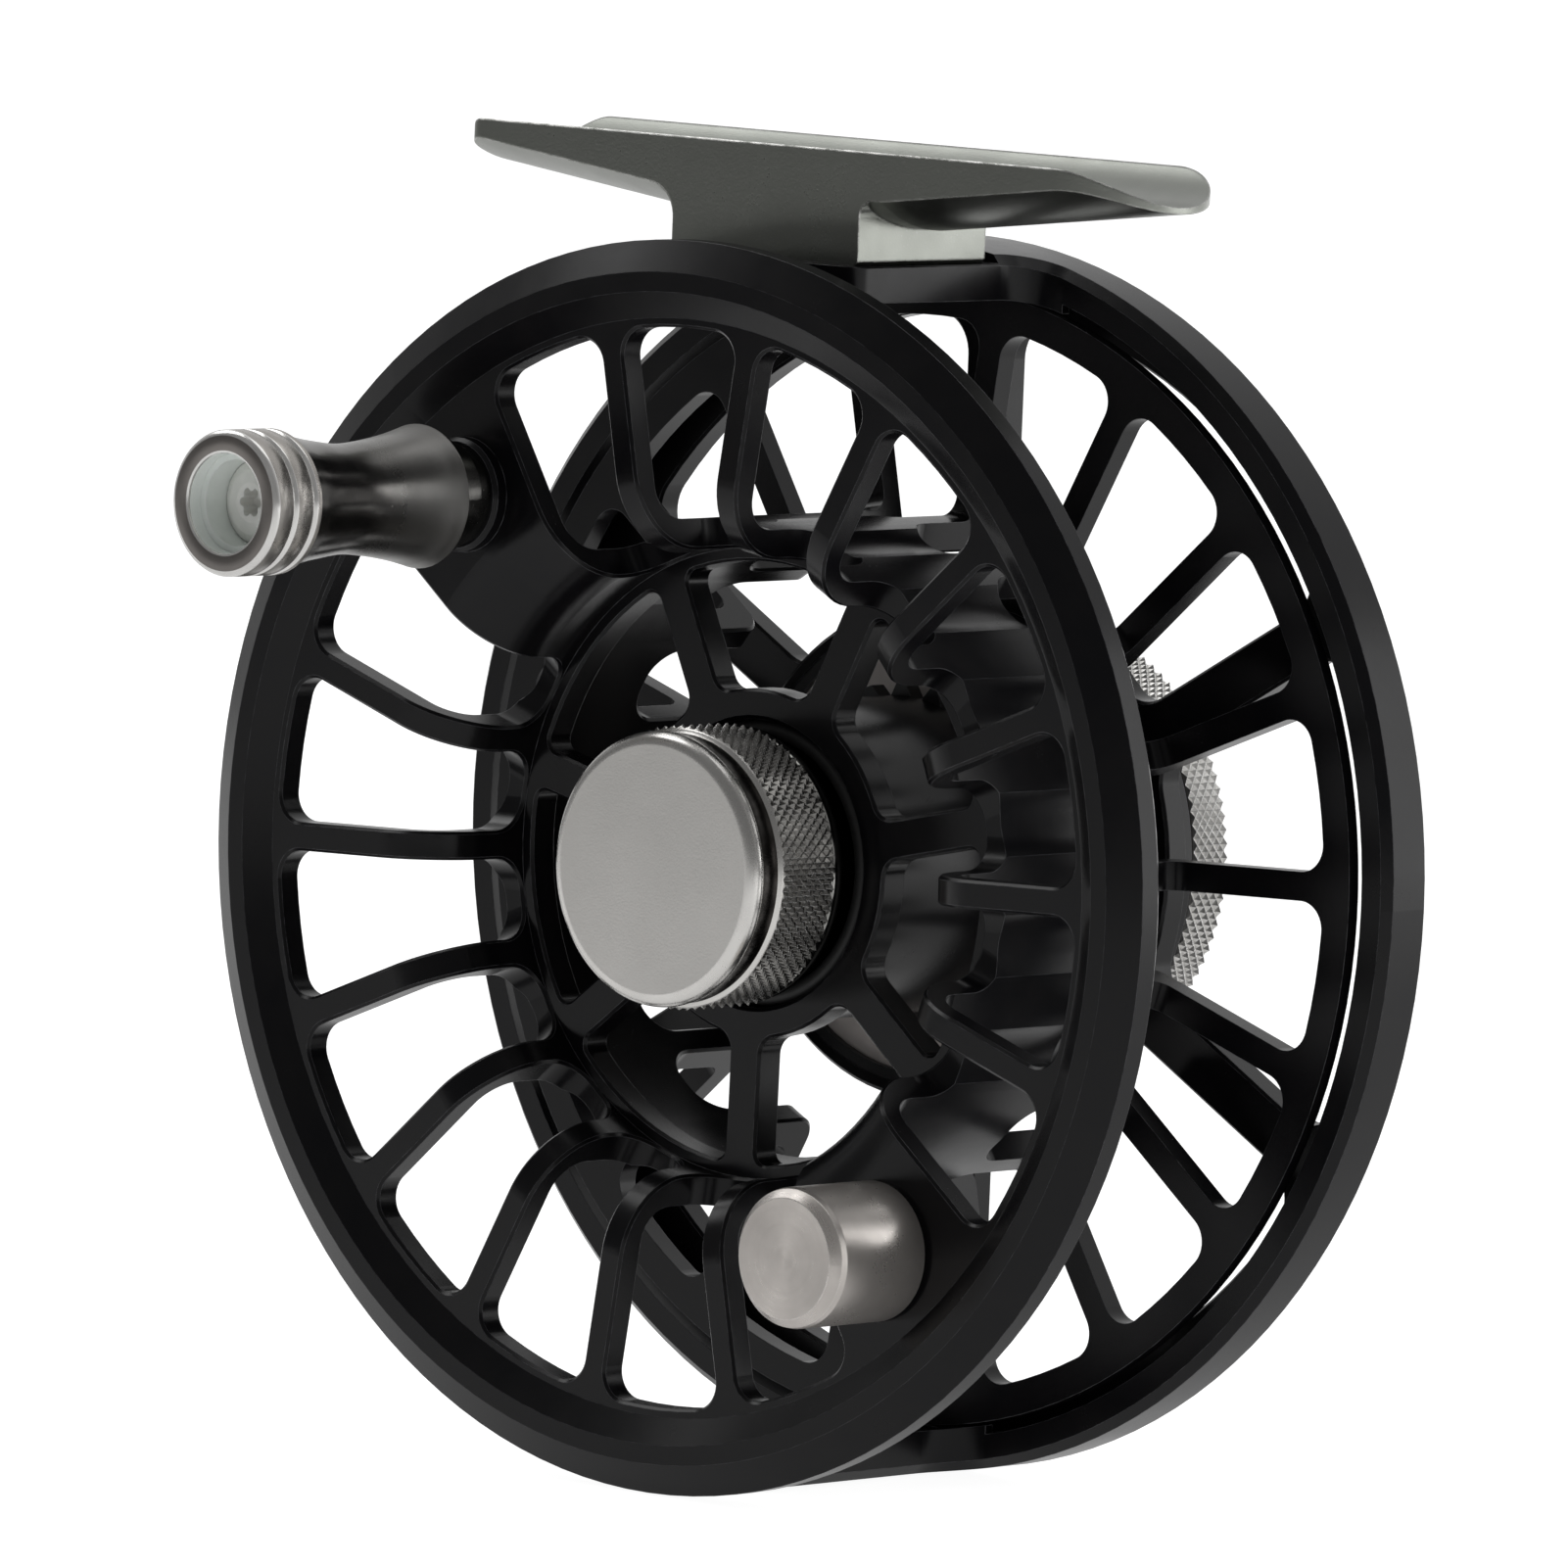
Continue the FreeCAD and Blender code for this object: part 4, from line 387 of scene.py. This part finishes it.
CAP_TURNS = 160
cap_rows = plain_rows(cap_face, (0.0, -1.9), (5.0, -1.9), (9.35, -1.9), (9.4, -1.9))
cap_rows += rounded_rows(9.45, -0.9, 1.0, 90, 4, 10, cap_edge)
cap_rows += plain_rows(cap_edge, (10.42, -0.8))
cap_rows += plain_rows(cap_groove, (10.25, -0.7), (10.2, -0.64), (10.2, 0.92))
cap_rows += plain_rows(cap_edge, (10.24, 0.98), (10.5, 1.1), (10.62, 1.2))
cap_rows += knurl_rows(10.8, 0.36, 1.25, 6.75, 11, knurl_dark)
cap_rows += plain_rows(cap_band, (10.45, 6.8), (10.55, 6.86), (10.55, 7.75), (10.35, 8.05), (9.5, 8.05),
                       (9.5, 11.9), (3.0, 11.9), (3.0, 19.6), (2.7, 19.9), (0.0, 19.9))
cap_piece = turned_piece("spool_cap_knurled", CAP_TURNS, cap_rows,
                         [cap_face, cap_edge, cap_groove, knurl_dark, cap_band])
put_in_place(cap_piece, "spool_cap", "spool_cap")

KNOB_TURNS = 200
knob_rows = plain_rows(knob_face, (6.04, 43.96), (6.04, 40.8), (16.0, 40.8), (16.3, 40.85))
knob_rows += plain_rows(knurl_light, (16.72, 41.1))
knob_rows += knurl_rows(17.1, 0.40, 41.2, 44.7, 8, knurl_light)
knob_rows += plain_rows(knob_face, (16.7, 44.8), (16.4, 45.05), (16.3, 45.1), (13.6, 45.1), (12.9, 44.5),
                        (8.2, 44.5), (7.6, 45.1), (6.7, 45.1), (6.7, 43.96), (6.04, 43.96))
knob_piece = turned_piece("drag_knob_knurled", KNOB_TURNS, knob_rows, [knurl_light, knob_face], sharp=30)
put_in_place(knob_piece, "drag_knob", "drag_knob")

GRIP_TURNS = 144
GROOVE_MIDDLES = (-22.16, -24.28)
WAIST_STEPS = 40
WAIST_START, WAIST_LENGTH = -21.36, 16.06
WAIST = [(0.0, 5.35), (0.10, 4.93), (0.27, 4.48), (0.45, 4.20), (0.64, 4.42), (0.84, 4.92), (1.0, 5.5)]
slopes = [(after[1] - before[1]) / (after[0] - before[0]) for before, after in zip(WAIST, WAIST[1:])]
tangents = [slopes[0]] + [(left + right) / 2 for left, right in zip(slopes, slopes[1:])] + [slopes[-1]]


def waist_radius(share):
    """Smooth curve through the waist's (share of its length, radius) points."""
    place = max(index for index, (start, _) in enumerate(WAIST[:-1]) if share >= start)
    (start, first), (end, last) = WAIST[place], WAIST[place + 1]
    span = end - start
    step = (share - start) / span
    return ((2 * step ** 3 - 3 * step ** 2 + 1) * first
            + (step ** 3 - 2 * step ** 2 + step) * span * tangents[place]
            + (3 * step ** 2 - 2 * step ** 3) * last
            + (step ** 3 - step ** 2) * span * tangents[place + 1])


grip_rows = plain_rows(grip_metal, (3.0, -5.3))
grip_rows += plain_rows(grip_bright, (5.42, -5.3))
grip_rows += plain_rows(grip_metal, (5.5, -5.38))
for step in range(1, WAIST_STEPS):
    share = 1.0 - step / WAIST_STEPS
    grip_rows += plain_rows(grip_metal, (waist_radius(share), WAIST_START + share * WAIST_LENGTH))
grip_rows += plain_rows(grip_bright, (5.35, -21.36), (5.47, -21.4))
grip_rows += plain_rows(grip_band, (5.55, -21.48))
for middle in GROOVE_MIDDLES:
    grip_rows += plain_rows(grip_bright, (5.55, middle + 0.30), (5.5, middle + 0.22),
                            (5.30, middle + 0.05), (5.30, middle - 0.05), (5.5, middle - 0.22))
    grip_rows += plain_rows(grip_band, (5.55, middle - 0.30))
grip_rows += plain_rows(grip_bright, (5.55, -26.0), (5.42, -26.25))
grip_rows += plain_rows(grip_face, (5.12, -26.4))
grip_rows += plain_rows(grip_bright, (3.98, -26.4), (3.83, -26.32))
grip_rows += plain_rows(frosted, (3.8, -26.15), (3.8, -21.8), (3.0, -21.8))
grip_rows += plain_rows(grip_metal, (3.0, -5.3))
grip_piece = turned_piece("handle_grip_turned", GRIP_TURNS, grip_rows,
                          [grip_metal, grip_bright, frosted, grip_band, grip_face],
                          centre=HANDLE, sharp=40)
put_in_place(grip_piece, "handle", "handle_grip")

# ---------------------------------------------------------------- floor, light and camera
low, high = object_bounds()
FLOOR_HALF = 4.0
FLOOR_CORNERS = [(-FLOOR_HALF, -FLOOR_HALF), (FLOOR_HALF, -FLOOR_HALF), (FLOOR_HALF, FLOOR_HALF),
                 (-FLOOR_HALF, FLOOR_HALF)]
floor_mesh = bpy.data.meshes.new("floor")
floor_mesh.from_pydata([(x, y, low.z) for x, y in FLOOR_CORNERS], [], [(0, 1, 2, 3)])
floor = bpy.data.objects.new("floor", floor_mesh)
bpy.context.scene.collection.objects.link(floor)

# The floor glows white to the camera. In reflections it glows only near the reel's front left and
# behind the reel, so faces that mirror it further out stay dark.
FRONT_LEFT = (-0.67, -0.74, 0.0)
GLOW_TO_CAMERA = 0.95
NEAR_GLOW = (0.84, 0.58, 0.0, 0.55)         # from here to there in metres, from this to that brightness
BACK_GLOW = (0.0, -0.4, 0.0, 0.65)
pale = Recipe("floor_pale")
pale_tone = pale.mix(pale.spread(pale.noise(8.0), 0.4, 0.6), rgba(0.34), rgba(0.36))
to_front = pale.add("ShaderNodeVectorMath", {0: pale.where, 1: FRONT_LEFT}, operation="DOT_PRODUCT")
near_glow = pale.spread(to_front.outputs["Value"], *NEAR_GLOW)
back_glow = pale.spread(to_front.outputs["Value"], *BACK_GLOW)
pale_ray = pale.add("ShaderNodeLightPath")
glow = pale.add("ShaderNodeMix", {0: pale_ray.outputs["Is Camera Ray"], 2: pale.plus(near_glow, back_glow),
                                  3: GLOW_TO_CAMERA})
floor_mesh.materials.append(pale.finish({"Base Color": pale_tone, "Roughness": 0.9,
                                         "Specular IOR Level": 0.1, "Emission Color": rgba(1.0),
                                         "Emission Strength": glow.outputs[0]}))


def softbox(name, place, target, width, height, brightness):
    """Rectangular soft light at a place, looking at a target; brightness 1 would show as white."""
    light = bpy.data.lights.new(name, "AREA")
    light.shape = "RECTANGLE"
    light.size, light.size_y = width, height
    light.energy = brightness * math.pi * width * height
    lamp = bpy.data.objects.new(name, light)
    bpy.context.scene.collection.objects.link(lamp)
    lamp.location = Vector(place)
    lamp.rotation_mode = "QUATERNION"
    lamp.rotation_quaternion = (Vector(target) - Vector(place)).to_track_quat("-Z", "Y")


ORIGIN, MIDDLE = (0.0, 0.0, 0.0), (0.0, 0.0, -0.055)
softbox("top_left", (-0.62, -0.08, 0.66), ORIGIN, 0.55, 0.55, 2.6)
softbox("top", (0.05, 0.10, 0.75), MIDDLE, 0.5, 0.5, 0.9)
softbox("right_back", (0.62, 0.52, 0.12), MIDDLE, 0.5, 0.5, 1.6)

# The sky is white to the camera and for reflections darker in front than behind.
SKY_FRONT, SKY_BACK, SKY_TO_CAMERA = 0.15, 0.75, 1.0
world = bpy.data.worlds.new("studio")
bpy.context.scene.world = world
world.use_nodes = True
sky = world.node_tree
sky.nodes.clear()
direction = add_node(sky, "ShaderNodeTexCoord").outputs["Generated"]
heading = add_node(sky, "ShaderNodeSeparateXYZ", {0: direction}).outputs[1]
behind = add_node(sky, "ShaderNodeMapRange", {"Value": heading, "From Min": -0.3, "From Max": 0.6,
                                              "To Min": SKY_FRONT, "To Max": SKY_BACK})
ray = add_node(sky, "ShaderNodeLightPath")
seen = add_node(sky, "ShaderNodeMix", {0: ray.outputs["Is Camera Ray"], 2: behind.outputs[0],
                                       3: SKY_TO_CAMERA})
backdrop = add_node(sky, "ShaderNodeBackground", {"Color": rgba(1.0), "Strength": seen.outputs[0]})
add_node(sky, "ShaderNodeOutputWorld", {"Surface": backdrop.outputs[0]})

# Camera: placed from the middle of the rim's largest circle, in rim radii.
RIM = 47.5 * MM
CLIP_END = 20.0
AZIMUTH, ELEVATION, ROLL = math.radians(42.1812), math.radians(5.1429), math.radians(2.341)
DISTANCE, SHIFT_RIGHT, SHIFT_UP = 26.7308 * RIM, 0.1772 * RIM, 0.1419 * RIM
FOCAL_PIXELS, IMAGE_PIXELS, SENSOR = 17167.37, 1601, 36.0
back = Vector((math.sin(AZIMUTH) * math.cos(ELEVATION), -math.cos(AZIMUTH) * math.cos(ELEVATION),
               math.sin(ELEVATION)))
right = Vector((math.cos(AZIMUTH), math.sin(AZIMUTH), 0.0))
up = back.cross(right)
rim_middle = Vector((0.0, RIM_CIRCLE * MM, SPOOL[1]))
eye = right * SHIFT_RIGHT + up * SHIFT_UP + back * DISTANCE + rim_middle
side = right * math.cos(ROLL) + up * math.sin(ROLL)
rise = up * math.cos(ROLL) - right * math.sin(ROLL)
camera_data = bpy.data.cameras.new("camera")
camera_data.sensor_width = SENSOR
camera_data.lens = FOCAL_PIXELS / IMAGE_PIXELS * SENSOR
camera_data.clip_end = CLIP_END
camera = bpy.data.objects.new("camera", camera_data)
bpy.context.scene.collection.objects.link(camera)
camera.matrix_world = Matrix.Translation(eye) @ Matrix((side, rise, back)).transposed().to_4x4()
bpy.context.scene.camera = camera
bpy.context.scene.view_settings.view_transform = "Standard"
